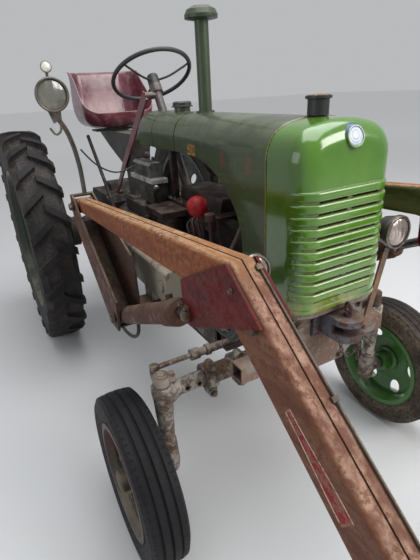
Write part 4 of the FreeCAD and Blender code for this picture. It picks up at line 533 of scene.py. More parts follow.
def add_turned(bm, centre, direction, profile, sides=32):
    """A turned form: profile holds (radius, place along the direction) pairs."""
    turn = Matrix.Translation(centre) @ frame_of(direction)
    rows = []
    for radius, along in profile:
        if radius < 1e-6:
            rows.append([bm.verts.new(turn @ Vector((0, 0, along)))])
            continue
        row = []
        for n in range(sides):
            angle = 2 * math.pi * n / sides
            spot = Vector((radius * math.cos(angle), radius * math.sin(angle), along))
            row.append(bm.verts.new(turn @ spot))
        rows.append(row)
    for lower, upper in zip(rows, rows[1:]):
        for n in range(sides):
            m = (n + 1) % sides
            corners = [lower[n % len(lower)], lower[m % len(lower)],
                       upper[m % len(upper)], upper[n % len(upper)]]
            unique = list(dict.fromkeys(corners))
            if len(unique) > 2:
                bm.faces.new(unique)


def add_bolt(bm, centre, direction, across=0.017, height=0.009):
    """A hexagon head, given across its flats, on a washer with a bevelled rim."""
    direction = direction.normalized()
    washer_height = 0.0025
    washer = across * 0.78
    corner = across * 0.577
    add_turned(bm, centre, direction, [(0, 0), (washer, 0), (washer, washer_height * 0.7),
                                       (across * 0.74, washer_height), (0, washer_height)], sides=18)
    add_turned(bm, centre + direction * washer_height, direction,
               [(corner, 0), (corner, height * 0.8), (across * 0.49, height), (0, height)], sides=6)


def add_box(bm, low, high, bevel):
    made = bmesh.ops.create_cube(bm, size=1.0)["verts"]
    middle = (low + high) / 2
    for vert in made:
        vert.co = Vector(vert.co[i] * (high[i] - low[i]) for i in range(3))
        vert.co += middle
    edges = list({edge for vert in made for edge in vert.link_edges})
    bmesh.ops.bevel(bm, geom=edges, offset=bevel, segments=2, affect="EDGES", profile=0.6)


def add_tube(bm, path, radius, sides=10):
    """A tube through the points, with its joints mitred and its ends closed."""
    path = [Vector(point) for point in path]
    rows = []
    for n, point in enumerate(path):
        before = path[max(n - 1, 0)]
        after = path[min(n + 1, len(path) - 1)]
        turn = frame_of(after - before)
        row = []
        for k in range(sides):
            angle = 2 * math.pi * k / sides
            arm = Vector((radius * math.cos(angle), radius * math.sin(angle), 0))
            row.append(bm.verts.new(point + turn @ arm))
        rows.append(row)
    for lower, upper in zip(rows, rows[1:]):
        # the next ring starts at the vertex nearest to this ring's first one
        start = min(range(sides), key=lambda k: (upper[k].co - lower[0].co).length)
        for k in range(sides):
            m = (k + 1) % sides
            bm.faces.new((lower[k], lower[m], upper[(m + start) % sides], upper[(k + start) % sides]))
    bm.faces.new(list(reversed(rows[0])))
    bm.faces.new(rows[-1])


def rounded_path(points, steps=8):
    """Points along a soft curve through a few chosen places."""
    points = [Vector(point) for point in points]
    ends = [points[0] * 2 - points[1]] + points + [points[-1] * 2 - points[-2]]
    path = []
    for n in range(1, len(ends) - 2):
        a, b, c, d = ends[n - 1:n + 3]
        for k in range(steps):
            t = k / steps
            path.append(0.5 * ((2 * b) + (c - a) * t + (2 * a - 5 * b + 4 * c - d) * t * t
                               + (3 * b - a - 3 * c + d) * t * t * t))
    path.append(points[-1])
    return path


def add_link(bm, centre, across, along, radius, wire, stretch, sides=6, steps=14):
    """A chain link of round wire, in the plane of across and along."""
    across = across.normalized()
    along = along.normalized()
    out = across.cross(along).normalized()
    rows = []
    for n in range(steps):
        angle = 2 * math.pi * n / steps
        arm = across * math.cos(angle) + along * math.sin(angle)
        middle = centre + arm * radius + along * math.copysign(stretch / 2, math.sin(angle))
        row = []
        for k in range(sides):
            turn = 2 * math.pi * k / sides
            row.append(bm.verts.new(middle + (arm * math.cos(turn) + out * math.sin(turn)) * wire))
        rows.append(row)
    for n in range(steps):
        lower = rows[n]
        upper = rows[(n + 1) % steps]
        for k in range(sides):
            m = (k + 1) % sides
            bm.faces.new((lower[k], lower[m], upper[m], upper[k]))


def add_chain(bm, path, pitch=0.017, wire=0.0022):
    """Links laid end to end along a path, each turned a quarter from the last."""
    path = rounded_path(path, steps=14)
    spots = [path[0]]
    for point in path:
        if (point - spots[-1]).length >= pitch:
            spots.append(point)
    for n, (start, end) in enumerate(zip(spots, spots[1:])):
        run = end - start
        side = run.cross(Vector((0, 1, 0.2))).normalized()
        if n % 2:
            side = run.cross(side).normalized()
        add_link(bm, (start + end) / 2, side, run, pitch * 0.3, wire, stretch=pitch * 0.72)


def hood_section(x, half, low, proud=0.0):
    """The outline of bonnet and nose at one station: straight sides, round shoulders, arched top."""
    shoulder = 0.100
    arch = 0.420
    reach = half - shoulder
    lean = math.asin(reach / (arch - shoulder))
    arch_z = crown_height - arch
    shoulder_z = arch_z + (arch - shoulder) * math.cos(lean)
    right = [(-half - proud, low), (-half - proud, (low + shoulder_z) / 2)]
    for n in range(9):
        turn = math.pi / 2 + (lean - math.pi / 2) * n / 8
        right.append((-reach - (shoulder + proud) * math.sin(turn),
                      shoulder_z + (shoulder + proud) * math.cos(turn)))
    for n in range(1, 7):
        turn = lean * (1 - n / 6)
        right.append((-(arch + proud) * math.sin(turn), arch_z + (arch + proud) * math.cos(turn)))
    whole = right + [(-y, z) for y, z in reversed(right[:-1])]
    return [at(x, y, z) for y, z in whole]


def along_arm(along, depth, y):
    # a point of the lower arm, measured from the elbow down its upper edge and in from that edge
    cos, sin = math.cos(arm_angle), math.sin(arm_angle)
    return at(arm_elbow[0] + along * cos - depth * sin, y, arm_elbow[1] - along * sin - depth * cos)


# Cords: the camera and these come first, since their room is checked against the view

def make_cord(name, body, material, route, diameter, node):
    """A hose or lead on one smooth spline through the route's pull, standing for its CAD solid."""
    curve = bpy.data.curves.new(name, "CURVE")
    curve.dimensions = "3D"
    curve.resolution_u = 16
    curve.bevel_depth = diameter / 2
    curve.bevel_resolution = 4
    curve.use_fill_caps = True
    spline = curve.splines.new("NURBS")
    spline.points.add(len(route) - 1)
    for point, spot in zip(spline.points, route):
        point.co = (*at(*spot), 1)
    spline.order_u = 3
    spline.use_endpoint_u = True
    curve.materials.append(material)
    made = bpy.data.objects.new(name, curve)
    bpy.context.scene.collection.objects.link(made)
    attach(made, body)
    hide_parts(node)
    return made


def make_cords():
    hose_diameter = 0.018
    lead_diameter = 0.008
    tank_side = -0.3453
    loop_y = -0.411
    loop = [(1.180, tank_side - 0.006, 0.843), (1.174, tank_side - 0.040, 0.841),
            (1.120, loop_y - 0.004, 0.825), (1.020, loop_y, 0.769), (0.935, loop_y, 0.677),
            (0.882, loop_y, 0.571), (0.920, loop_y, 0.475),
            (1.015, loop_y, 0.433), (1.130, loop_y, 0.431), (1.245, loop_y, 0.461), (1.330, loop_y, 0.519),
            (1.360, loop_y, 0.581), (1.360, loop_y, 0.641)]

    def build_unions(bm):
        add_turned(bm, at(1.180, tank_side, 0.843), Vector((0, -1, 0)),
                   [(0, 0), (0.014, 0), (0.014, 0.012), (0.011, 0.014), (0.011, 0.024), (0, 0.024)], sides=12)
        add_turned(bm, at(1.360, loop_y, 0.6565), Vector((0, 0, -1)),
                   [(0, 0), (0.014, 0), (0.014, 0.014), (0.011, 0.018), (0.011, 0.046), (0, 0.046)], sides=12)

    unions = piece("loop_hose_unions", "chassis", finish_bolt, build_unions)
    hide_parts("hoses")
    make_cord("loop_hose", "chassis", finish_hose, loop, hose_diameter, "hoses")
    lead = [(0.953, -0.4547, 1.384), (0.941, -0.4107, 1.322), (0.931, -0.3497, 1.272),
            (0.933, -0.2797, 1.244), (0.942, -0.178, 1.276), (0.9817, -0.178, 1.276)]
    make_cord("lamp_lead", "chassis", finish_hose, lead, lead_diameter, "hoses")
    x, z = cylinder_head
    for name, row, drop in (("outer", -0.4295, 0.0), ("inner", -0.4075, 0.022)):
        route = [(x - 0.210, row, z + 0.096), (x - 0.150, row, z + 0.020 - drop),
                 (x - 0.040, row, z - 0.078 - drop), (x + 0.030, row, z - 0.088 - drop),
                 (x + 0.078, row, z - 0.040), (x + 0.112, row, z + 0.046), (x + 0.128, row, z + 0.120)]
        make_cord("tool_hose_" + name, "boom", finish_hose, route, hose_diameter,
                  "boom_hoses")

    def build_clips(bm):
        for low, high in (((x - 0.222, -0.4497, z + 0.084), (x - 0.192, -0.3925, z + 0.112)),
                          ((x + 0.112, -0.4427, z + 0.104), (x + 0.146, -0.3925, z + 0.132))):
            add_box(bm, at(*low), at(*high), bevel=0.004)
            spot = at((low[0] + high[0]) / 2, -0.3925, (low[2] + high[2]) / 2)
            add_bolt(bm, spot, Vector((0, 1, 0)), across=0.012, height=0.006)

    clips = piece("tool_hose_clips", "boom", finish_bolt, build_clips)
    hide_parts("boom_hoses")


# Finishes of the CAD pieces

chip_brown = tone(58, 38, 28)
rust_bead = tone(120, 104, 44)
medallion_spot = at(nose_front - 0.0163, -0.001, crown_height - 0.0485)
red_ball_spot = at(1.655, -0.202, 1.202)


def nose_marks(s, colour):
    """A bare silvery medallion with turned rings, painted shade on the side faces, and brown dust along the
    lower lip.
    """
    disc = s.near(medallion_spot, 0.0345, soft=0.0012)
    shifted = s.moved(shift=tuple(-c for c in medallion_spot))
    rings = s.math("SINE", s.times(s.length(shifted), medallion_rings))
    silver = s.mix(s.span(rings, -0.4, 0.4), tone(58, 82, 112), tone(116, 134, 158))
    # painted shade: darker green on the faces that turn to the sides
    painted_flank_shade = s.span(s.math("ABSOLUTE", s.axis("Y", s.facing)), 0.55, 0.95)
    colour = s.mix(s.times(painted_flank_shade, 0.8), colour, tone(44, 76, 12))
    dusty = s.both(s.span(s.axis("Z"), 1.0, 1.36, 1.0, 0.0), s.upward(0.1, 0.7),
                   s.span(s.noise(24, detail=6), 0.3, 0.6))
    colour = s.mix(s.times(dusty, 0.6), colour, tone(128, 142, 96))
    groove = s.both(s.hollows(0.012, 0.45, 0.8), s.span(s.axis("Z"), 1.34, 1.38, 1.0, 0.0))
    colour = s.mix(s.times(groove, 0.8), colour, tone(74, 56, 24))
    lip = s.both(s.span(s.axis("Z"), nose_bottom, nose_bottom + 0.10, 1.0, 0.0),
                 s.span(s.noise(22, detail=8, roughness=0.7), 0.4, 0.62))
    colour = s.mix(s.times(lip, 0.7), colour, tone(142, 132, 66))
    return s.mix(disc, colour, silver)


def bonnet_marks(s, colour):
    """What is left of small plain labels, orange and red, and long wiping streaks."""
    streaks = s.noise(20, detail=6, place=s.moved(scale=(0.6, 3.0, 3.0)))
    colour = s.mix(s.span(streaks, 0.52, 0.72, 0.0, 0.35), colour, tone(78, 92, 44))
    side = s.span(s.axis("Y", s.facing), -0.8, -0.4, 1.0, 0.0)
    ragged = s.span(s.noise(90, detail=6, roughness=0.8), 0.47, 0.53)
    for x, z, half_x, half_z, paint in ((1.510, 1.396, 0.040, 0.022, tone(176, 116, 18)),
                                        (1.790, 1.390, 0.018, 0.026, tone(112, 44, 20)),
                                        (1.970, 1.392, 0.016, 0.026, tone(110, 42, 22))):
        spot = at(x, 0, z)
        label = s.both(s.inside(s.axis("X"), spot.x - half_x, spot.x + half_x, 0.003),
                       s.inside(s.axis("Z"), z - half_z, z + half_z, 0.003), side, ragged)
        colour = s.mix(s.times(label, 0.85), colour, paint)
    return colour


def seat_marks(s, colour):
    """Pale blotches painted as highlights on the varnish, and dirt along the front lip."""
    # painted highlight: pale pink blotches on the varnish
    painted_highlight_blotch = s.span(s.noise(13, detail=8, roughness=0.72, bend=0.4), 0.47, 0.6)
    colour = s.mix(s.times(painted_highlight_blotch, 0.4), colour, tone(150, 104, 116))
    low = s.span(s.axis("Z"), 1.44, 1.50, 1.0, 0.0)
    return s.mix(s.times(s.both(low, s.span(s.noise(30, detail=7), 0.42, 0.6)), 0.75), colour,
                 tone(56, 40, 38))


def engine_finish(name):
    """Oily brown castings, and the one red ball on their right side."""
    s = Shader(name)
    cloud = s.noise(9, detail=8, roughness=0.65)
    fine = s.noise(60, detail=7, roughness=0.7)
    colour = s.mix(s.span(cloud, 0.38, 0.62), tone(24, 16, 17), tone(56, 40, 39))
    colour = s.mix(s.span(fine, 0.58, 0.72, 0.0, 0.6), colour, tone(96, 78, 70))
    rusty = s.both(s.span(s.noise(21, detail=8, roughness=0.72), 0.52, 0.62), s.span(cloud, 0.3, 0.5))
    colour = s.mix(s.times(rusty, 0.7), colour, tone(72, 40, 28))
    # painted shade: near black in the hollows and corners
    colour = s.mix(s.times(s.hollows(0.06), 0.75), colour, tone(18, 13, 14))
    dust = s.both(s.upward(0.4, 0.95), s.span(s.noise(26, detail=7), 0.38, 0.6))
    colour = s.mix(s.times(dust, 0.45), colour, tone(104, 90, 78))
    red = s.near(red_ball_spot, 0.0445, soft=0.001)
    paint = s.mix(s.span(s.noise(60, detail=5), 0.4, 0.6), tone(150, 14, 22), tone(118, 8, 16))
    colour = s.mix(red, colour, paint)
    wet = s.span(s.noise(5, detail=5), 0.45, 0.62)
    rough = s.blend(s.times(wet, 0.7), 0.7, 0.26)
    rough = s.blend(red, rough, 0.5)
    s.raise_by(s.noise(130, detail=6, roughness=0.7), 0.0012)
    s.raise_by(s.noise(18, detail=3), 0.003)
    return s.finish(colour, rough, specular=0.3, soft_edge=0.005)


def arm_finish(name):
    """Loader arms: brown paint worn to steel along the edges, red plates at the elbows."""
    s = Shader(name)
    x, y, z = s.axis("X"), s.axis("Y"), s.axis("Z")
    across = s.math("ABSOLUTE", s.math("SUBTRACT", s.math("ABSOLUTE", y), arm_y))
    elbow = at(arm_elbow[0], 0, arm_elbow[1])
    lower = s.span(x, elbow.x - 0.06, elbow.x + 0.10)
    top = s.span(s.axis("Z", s.facing), 0.45, 0.8)
    stretch = (0.45, 2.2, 2.2)
    level = s.noise(9, detail=8, roughness=0.66, place=s.moved(scale=stretch))
    sloped = s.noise(9, detail=8, roughness=0.66, place=s.moved(turn=(0, -arm_angle, 0), scale=stretch))
    streak = s.blend(lower, level, sloped)
    fine = s.noise(52, detail=8, roughness=0.76)
    upper_side = s.mix(s.span(streak, 0.36, 0.64), tone(104, 50, 22), tone(136, 78, 40))
    lower_side = s.mix(s.span(streak, 0.36, 0.64), tone(86, 48, 32), tone(116, 78, 58))
    side = s.mix(lower, upper_side, lower_side)
    # the tops take lighter tones than the sides: partly dust, partly painted light from above
    upper_top = s.mix(s.span(streak, 0.4, 0.62), tone(138, 94, 58), tone(172, 138, 104))
    lower_top = s.mix(s.span(streak, 0.4, 0.6), tone(96, 60, 44), tone(150, 116, 98))
    colour = s.mix(top, side, s.mix(lower, upper_top, lower_top))
    rust = s.span(s.math("ADD", s.times(streak, 0.55), s.times(fine, 0.5)), 0.55, 0.6)
    colour = s.mix(s.times(rust, 0.7), colour, tone(88, 46, 30))
    # painted shade: darker brown along both edges of the top faces, where the corners round over
    rim = s.both(s.span(across, arm_half_width * 0.62, arm_half_width * 0.9), top, s.span(fine, 0.36, 0.56))
    colour = s.mix(s.times(rim, 0.7), colour, tone(100, 54, 38))
    # painted shade with green bounce light: olive on the inner side of the left arm
    painted_bounce_shade = s.both(s.span(y, 0.1, 0.2), s.span(s.axis("Y", s.facing), -0.8, -0.5, 1.0, 0.0))
    green = s.mix(s.span(streak, 0.4, 0.6), tone(58, 64, 28), tone(84, 88, 44))
    colour = s.mix(painted_bounce_shade, colour, green)
    # the gusset plates stand out from the arm's sides
    plate = s.both(s.span(across, arm_half_width + 0.0002, arm_half_width + 0.0008),
                   s.inside(x, at(2.12, 0, 0).x, at(2.56, 0, 0).x, 0.004), s.span(z, 1.0, 1.02))
    red = s.mix(s.span(level, 0.4, 0.62), tone(68, 8, 9), tone(92, 12, 11))
    red = s.mix(s.span(s.noise(48, detail=8, roughness=0.78), 0.57, 0.64, 0.0, 0.85), red, tone(92, 54, 38))
    colour = s.mix(plate, colour, red)
    # a plain worn band of red with pale edges on the outside of the right lower arm
    along, depth = arm_coordinates(s)
    ragged = s.span(s.noise(60, detail=7, roughness=0.8), 0.42, 0.5)
    outside = s.both(s.span(y, -0.3, -0.2, 1.0, 0.0), s.span(s.axis("Y", s.facing), -0.8, -0.5, 1.0, 0.0))
    taper = s.span(along, band_along[0], band_along[1], 0.009, 0.020)
    middle = s.math("ABSOLUTE", s.math("SUBTRACT", depth, band_depth))
    reach = s.math("SUBTRACT", taper, middle)
    run = s.inside(along, band_along[0], band_along[1], 0.004)
    colour = s.mix(s.both(s.span(reach, -0.0035, -0.0015), run, outside, ragged), colour, tone(196, 178, 160))
    colour = s.mix(s.both(s.span(reach, 0.0, 0.0015), run, outside, ragged), colour, tone(128, 18, 28))
    worn = s.both(s.edges(0.005), s.span(fine, 0.42, 0.6))
    colour = s.mix(s.times(worn, 0.45), colour, tone(150, 106, 72))
    # painted shade: near black in the hollows and corners
    colour = s.mix(s.times(s.hollows(0.02), 0.85), colour, tone(30, 20, 16))
    rough = s.span(fine, 0.3, 0.7, 0.42, 0.7)
    s.raise_by(rust, 0.0005)
    s.raise_by(s.noise(170, detail=6, roughness=0.72), 0.0006)
    s.raise_by(s.noise(3.5, detail=2), 0.004)
    return s.finish(colour, rough, specular=0.22, soft_edge=0.004)


band_along = (0.31, 0.52)
band_depth = 0.064


def arm_coordinates(s):
    """Distance down the lower arm from its elbow, and in from its upper edge, as shader values."""
    elbow = at(arm_elbow[0], 0, arm_elbow[1])
    cos, sin = math.cos(arm_angle), math.sin(arm_angle)
    away_x = s.math("SUBTRACT", s.axis("X"), elbow.x)
    away_z = s.math("SUBTRACT", s.axis("Z"), elbow.z)
    along = s.math("SUBTRACT", s.times(away_x, cos), s.times(away_z, sin))
    depth = s.times(s.math("ADD", s.times(away_x, sin), s.times(away_z, cos)), -1.0)
    return along, depth


def column_finish(name):
    """Dark grey column and case, with the flat brace at the side in maroon."""
    s = Shader(name)
    cloud = s.noise(12, detail=7)
    brace = s.span(s.axis("Y"), -0.0635, -0.0625, 1.0, 0.0)
    grey = s.mix(s.span(cloud, 0.36, 0.64), tone(58, 46, 46), tone(92, 78, 74))
    maroon = s.mix(s.span(cloud, 0.36, 0.64), tone(84, 34, 40), tone(112, 54, 58))
    colour = s.mix(brace, grey, maroon)
    worn = s.both(s.edges(0.004), s.span(s.noise(70, detail=5), 0.44, 0.6))
    colour = s.mix(s.times(worn, 0.6), colour, tone(62, 48, 40))
    # painted light: lighter on the faces that point up
    colour = s.mix(s.times(s.upward(), 0.35), colour, tone(142, 128, 118))
    s.raise_by(s.noise(120, detail=5), 0.0005)
    return s.finish(colour, s.span(cloud, 0.3, 0.7, 0.3, 0.5), coat=0.25, soft_edge=0.003)


def headlight_finish(name):
    """Black bowls; the flat bars under them keep scraped tan paint."""
    s = Shader(name)
    cloud = s.noise(14, detail=7, roughness=0.7)
    x, y, z = headlight
    bowls = [s.near(at(x - 0.03, side * y, z), 0.082, soft=0.002) for side in (1, -1)]
    bowl = s.math("MAXIMUM", *bowls)
    black = s.mix(s.span(cloud, 0.36, 0.66), tone(30, 27, 25), tone(66, 58, 50))
    tan = s.mix(s.span(cloud, 0.4, 0.6), tone(142, 96, 52), tone(112, 82, 58))
    tan = s.mix(s.span(s.noise(60, detail=7, roughness=0.75), 0.54, 0.62), tan, tone(120, 112, 104))
    colour = s.mix(bowl, tan, black)
    worn = s.both(s.edges(0.004), s.span(s.noise(80, detail=5), 0.46, 0.6))
    colour = s.mix(s.times(worn, 0.55), colour, tone(112, 96, 84))
    # painted shade: near black in the hollows and corners
    colour = s.mix(s.times(s.hollows(0.03), 0.6), colour, tone(34, 26, 22))
    s.raise_by(s.noise(150, detail=5), 0.0005)
    return s.finish(colour, s.blend(bowl, 0.55, 0.28), coat=0.2, soft_edge=0.003)


def valve_finish(name):
    """Silvery fuse box and tray over black valve bodies."""
    s = Shader(name)
    cloud = s.noise(18, detail=7)
    plate = s.span(s.axis("Z"), 1.2255, 1.2262)
    box_part = s.span(s.axis("Z"), 1.2463, 1.2467)
    black = s.mix(s.span(cloud, 0.4, 0.66), tone(24, 22, 22), tone(52, 46, 42))
    silver = s.mix(s.span(cloud, 0.4, 0.62), tone(168, 168, 164), tone(206, 206, 202))
    lid = s.mix(s.span(cloud, 0.42, 0.62), tone(60, 62, 60), tone(104, 106, 103))
    colour = s.mix(plate, black, s.mix(box_part, silver, lid))
    dust = s.both(s.upward(), s.span(s.noise(44, detail=6), 0.42, 0.6))
    colour = s.mix(s.times(dust, 0.5), colour, tone(120, 108, 94))
    # painted shade: near black in the hollows and corners
    colour = s.mix(s.times(s.hollows(0.04), 0.6), colour, tone(20, 18, 18))
    s.raise_by(s.noise(160, detail=4), 0.0004)
    return s.finish(colour, s.span(cloud, 0.3, 0.7, 0.24, 0.45), s.times(plate, 0.55), coat=0.3,
                    soft_edge=0.003)


finish_nose = enamel("nose_green", tone(86, 132, 26), tone(68, 114, 18), chip_brown, dust=0.1, wear=0.3,
                     roughness=0.14, coat=0.9, dirt=tone(104, 92, 44), marks=nose_marks)
finish_bonnet = enamel("bonnet_green", tone(43, 61, 14), tone(32, 46, 11), chip_brown, dust=0.3, wear=0.5,
                       roughness=0.3, coat=0.35, marks=bonnet_marks)
finish_bead = enamel("nose_seam_bead", rust_bead, tone(88, 92, 34), chip_brown, dust=0.3, wear=0.6)
finish_stack = enamel("stack_green", tone(46, 66, 34), tone(34, 50, 26), chip_brown, dust=0.3, wear=0.7,
                      roughness=0.4, coat=0.2)
finish_rear_rims = enamel("rear_rim_green", tone(30, 48, 24), tone(20, 34, 18), tone(70, 50, 36), dust=0.5,
                          wear=0.7, roughness=0.45, coat=0.15)
finish_left_rim = enamel("left_rim_green", tone(62, 116, 44), tone(50, 98, 38), tone(84, 58, 40), dust=0.35,
                         wear=0.5, roughness=0.3, coat=0.4)
# the right front rim is darker than the left: painted shade over its paint, with rust-brown patches
finish_right_rim_shaded = enamel("right_rim_painted_shade", tone(48, 46, 30), tone(66, 34, 26), tone(104, 64, 44), dust=0.45,
                          wear=0.8, roughness=0.5, coat=0.1)
finish_seat = enamel("seat_red", tone(108, 42, 54), tone(82, 28, 38), tone(60, 40, 36), dust=0.3, wear=0.45,
                     roughness=0.28, coat=0.5, marks=seat_marks)
finish_engine = engine_finish("engine_iron")
finish_gearbox = cast_iron("gearbox_iron", tone(40, 32, 29), tone(22, 18, 18), tone(64, 42, 30), oil=0.35)
finish_arms = arm_finish("arm_paint")
finish_column = column_finish("column_paint")
finish_valve = valve_finish("valve_alloy")
finish_headlight = headlight_finish("headlight_paint")
finish_mast = rusted("mast_paint", tone(78, 50, 34), tone(106, 76, 54), tone(48, 32, 24), tone(84, 48, 34),
                     0.4, dust=0.5)
finish_barrel = rusted("barrel_paint", tone(86, 46, 29), tone(112, 68, 45), tone(52, 30, 22),
                       tone(94, 50, 34), 0.4)
finish_bolster = rusted("bolster_rust", tone(138, 112, 96), tone(168, 148, 132), tone(92, 66, 50),
                        tone(126, 116, 110), 0.4)
finish_hitch = rusted("hitch_rust", tone(90, 48, 44), tone(116, 74, 64), tone(58, 34, 32),
                      tone(88, 88, 96), 0.35)
finish_knuckle = rusted("knuckle_rust", tone(110, 90, 78), tone(140, 120, 104), tone(66, 48, 40),
                        tone(142, 132, 124), 0.55)
finish_oil_tank = rusted("oil_tank_grey", tone(138, 130, 112), tone(160, 150, 132), tone(96, 84, 68),
                         tone(152, 146, 130), 0.8)
finish_rail = rusted("rail_grey", tone(92, 84, 76), tone(122, 110, 98), tone(56, 46, 40),
                     tone(112, 106, 100), 0.5)
finish_cap_disc = rusted("cap_disc_brass", tone(122, 98, 72), tone(148, 126, 98), tone(86, 62, 44),
                         tone(150, 134, 108), 0.4)
finish_axle = flaking_paint("axle_cream")
finish_black = plain_black("black_enamel")
finish_plastic = plain_black("black_plastic", roughness=0.38, grain=420)
finish_hose = plain_black("hose_rubber", roughness=0.45, grain=300, dust=0.35)
finish_carrier = plain_black("carrier_black", tone(44, 40, 38), roughness=0.45, dust=0.45)
finish_bolt = bright_steel("bolt_steel", tone(112, 100, 88), 0.42, stain_share=0.9)
finish_rod = bright_steel("rod_chrome", (0.3, 0.28, 0.27, 1), 0.14)
finish_ring = bright_steel("lamp_ring_steel", tone(150, 140, 132), 0.2, stain_share=0.6)
finish_core = radiator_core("radiator_core")
finish_lamp_shell = plain_black("lamp_shell", tone(58, 52, 46), roughness=0.3, dust=0.4, coat=0.3)


def tyre_finish(hand, axle, dust, dust_colour, nicks=0.0):
    node = axle + "_tyre_" + hand
    low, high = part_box(node)
    radius = (high[2] - low[2]) / 2
    half_width = (high[1] - low[1]) / 2
    rim_low, rim_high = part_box(node.replace("tyre", "wheel"))
    rim_radius = (rim_high[2] - rim_low[2]) / 2
    return tyre_rubber(node + "_rubber", node_centre(node), radius, half_width, tyre_black, dust_colour, dust,
                       rim_radius, nicks)


tyre_black = tone(19, 18, 21)
finishes = {
    "rear_housing": finish_gearbox,
    "gearbox": finish_gearbox,
    "engine_block": finish_engine,
    "engine_dress": finish_engine,
    "manifold": finish_engine,
    "radiator": finish_core,
    "front_bolster": finish_bolster,
    "front_hitch": finish_hitch,
    "front_axle": finish_axle,
    "axle_ends": finish_axle,
    "tie_rod": finish_knuckle,
    "drop_arm": finish_engine,
    "drag_link": finish_knuckle,
    "drawbar": finish_mast,
    "bonnet": finish_bonnet,
    "rear_cowl": finish_bonnet,
    "fuel_tank": finish_bonnet,
    "caps": finish_black,
    "nose_cowl": finish_nose,
    "exhaust_stack": finish_stack,
    "steering_column": finish_column,
    "steering_wheel": finish_plastic,
    "seat_pan": finish_seat,
    "seat_carrier": finish_carrier,
    "controls": finish_gearbox,
    "valve_block": finish_valve,
    "work_lamp": finish_lamp_shell,
    "headlights": finish_headlight,
    "oil_tank": finish_oil_tank,
    "masts": finish_mast,
    "loader_rails": finish_rail,
    "loader_boom": finish_arms,
    "hoses": finish_hose,
    "boom_hoses": finish_hose,
    "front_wheel_left": finish_left_rim,
    "front_wheel_right": finish_right_rim_shaded,
    "rear_tyre_left": tyre_finish("left", "rear", 0.4, tone(112, 100, 86)),
    "rear_tyre_right": tyre_finish("right", "rear", 0.42, tone(108, 100, 92)),
    "front_tyre_left": tyre_finish("left", "front", 0.95, tone(126, 112, 94)),
    "front_tyre_right": tyre_finish("right", "front", 0.15, tone(88, 80, 76), nicks=0.004),
}
for hand in ("left", "right"):
    finishes["rear_wheel_" + hand] = finish_rear_rims
    finishes["knuckle_" + hand] = finish_knuckle
    finishes["cylinder_barrel_" + hand] = finish_barrel
    finishes["cylinder_rod_" + hand] = finish_rod

for name, node in nodes.items():
    node.data.materials.clear()
    node.data.materials.append(finishes[name])


# Pieces that the CAD leaves out

def make_seams():
    """The bead where nose and bonnet meet, and the dark joint between cowl and tank."""
    def build_bead(bm):
        add_tube(bm, hood_section(nose_seam, bonnet_half_width, nose_bottom + 0.004, 0.0005), 0.0028, sides=8)

    def build_joint(bm):
        add_tube(bm, hood_section(cowl_seam, cowl_half_width, crown_height - 0.156, -0.0002), 0.0018, sides=6)

    piece("nose_seam_bead", "chassis", finish_bead, build_bead)
    piece("tank_seam_joint", "chassis", finish_black, build_joint)


def make_lamps():
    """Glasses, rings and reflectors of the three lamps and the small mirror."""
    forward = Vector((1, 0, 0))
    downward = Vector((0, 0, -1))
    for hand, side in (("left", 1), ("right", -1)):
        spot = at(headlight[0], side * headlight[1], headlight[2])
        r = headlight_radius

        def build_glass(bm):
            add_turned(bm, spot, forward, [(r - 0.0055, 0.0135), (r * 0.84, 0.0185), (r * 0.6, 0.0225),
                                           (r * 0.3, 0.0250), (0, 0.0258)], sides=40)

        def build_ring(bm):
            profile = [(r + 0.0006, 0.002), (r + 0.003, 0.006), (r + 0.003, 0.018), (r - 0.001, 0.0225),
                       (r - 0.006, 0.0215), (r - 0.0065, 0.013)]
            add_turned(bm, spot, forward, profile, sides=40)
            add_bolt(bm, spot + Vector((0.012, 0, -r - 0.003)), downward, across=0.008, height=0.006)

        glass = lamp_glass("headlight_glass_" + hand, tone(156, 138, 132), spot, r)
        piece("headlight_lens_" + hand, "chassis", glass, build_glass, angle=60)
        piece("headlight_ring_" + hand, "chassis", finish_ring, build_ring)
    spot = at(*work_lamp)
    r = work_lamp_radius

    def build_work_glass(bm):
        profile = [(r - 0.007, 0.0105), (r * 0.8, 0.0135), (r * 0.4, 0.0165), (0, 0.0175)]
        add_turned(bm, spot, forward, profile, sides=40)

    def build_work_ring(bm):
        profile = [(r + 0.0005, 0.004), (r + 0.0028, 0.008), (r + 0.0028, 0.018), (r - 0.002, 0.0215),
                   (r - 0.0068, 0.0205), (r - 0.0072, 0.012)]
        add_turned(bm, spot, forward, profile, sides=40)
        add_bolt(bm, spot + Vector((0.012, 0, -r - 0.0028)), downward, across=0.009, height=0.007)

    glass = lamp_glass("work_lamp_glass", tone(98, 97, 88), spot, r, flutes=30.0, silver=0.0,
                       painted_highlight=tone(124, 122, 112))
    piece("work_lamp_lens", "chassis", glass, build_work_glass, angle=60)
    piece("work_lamp_ring", "chassis", finish_lamp_shell, build_work_ring)
    mirror_spot = at(work_lamp[0] - 0.014, work_lamp[1], work_lamp[2] + r + 0.040)

    def build_mirror(bm):
        add_turned(bm, mirror_spot, forward, [(0.0205, 0.0052), (0.0195, 0.0066), (0, 0.0070)], sides=28)

    # painted reflection: the mirror is pale and barely metallic, so it shows as a pale disc
    mirror = lamp_glass("mirror_glass", tone(206, 206, 196), mirror_spot, 0.021, flutes=0.0, silver=0.1)
    piece("lamp_mirror", "chassis", mirror, build_mirror, angle=60)


def nut_circle(middle, out, count, circle, across, height):
    """What builds the nuts evenly spaced on a circle round a wheel's middle."""
    def build(bm):
        for n in range(count):
            angle = 2 * math.pi * n / count
            spot = middle + Vector((math.cos(angle) * circle, 0, math.sin(angle) * circle))
            add_bolt(bm, spot, out, across, height)

    return build


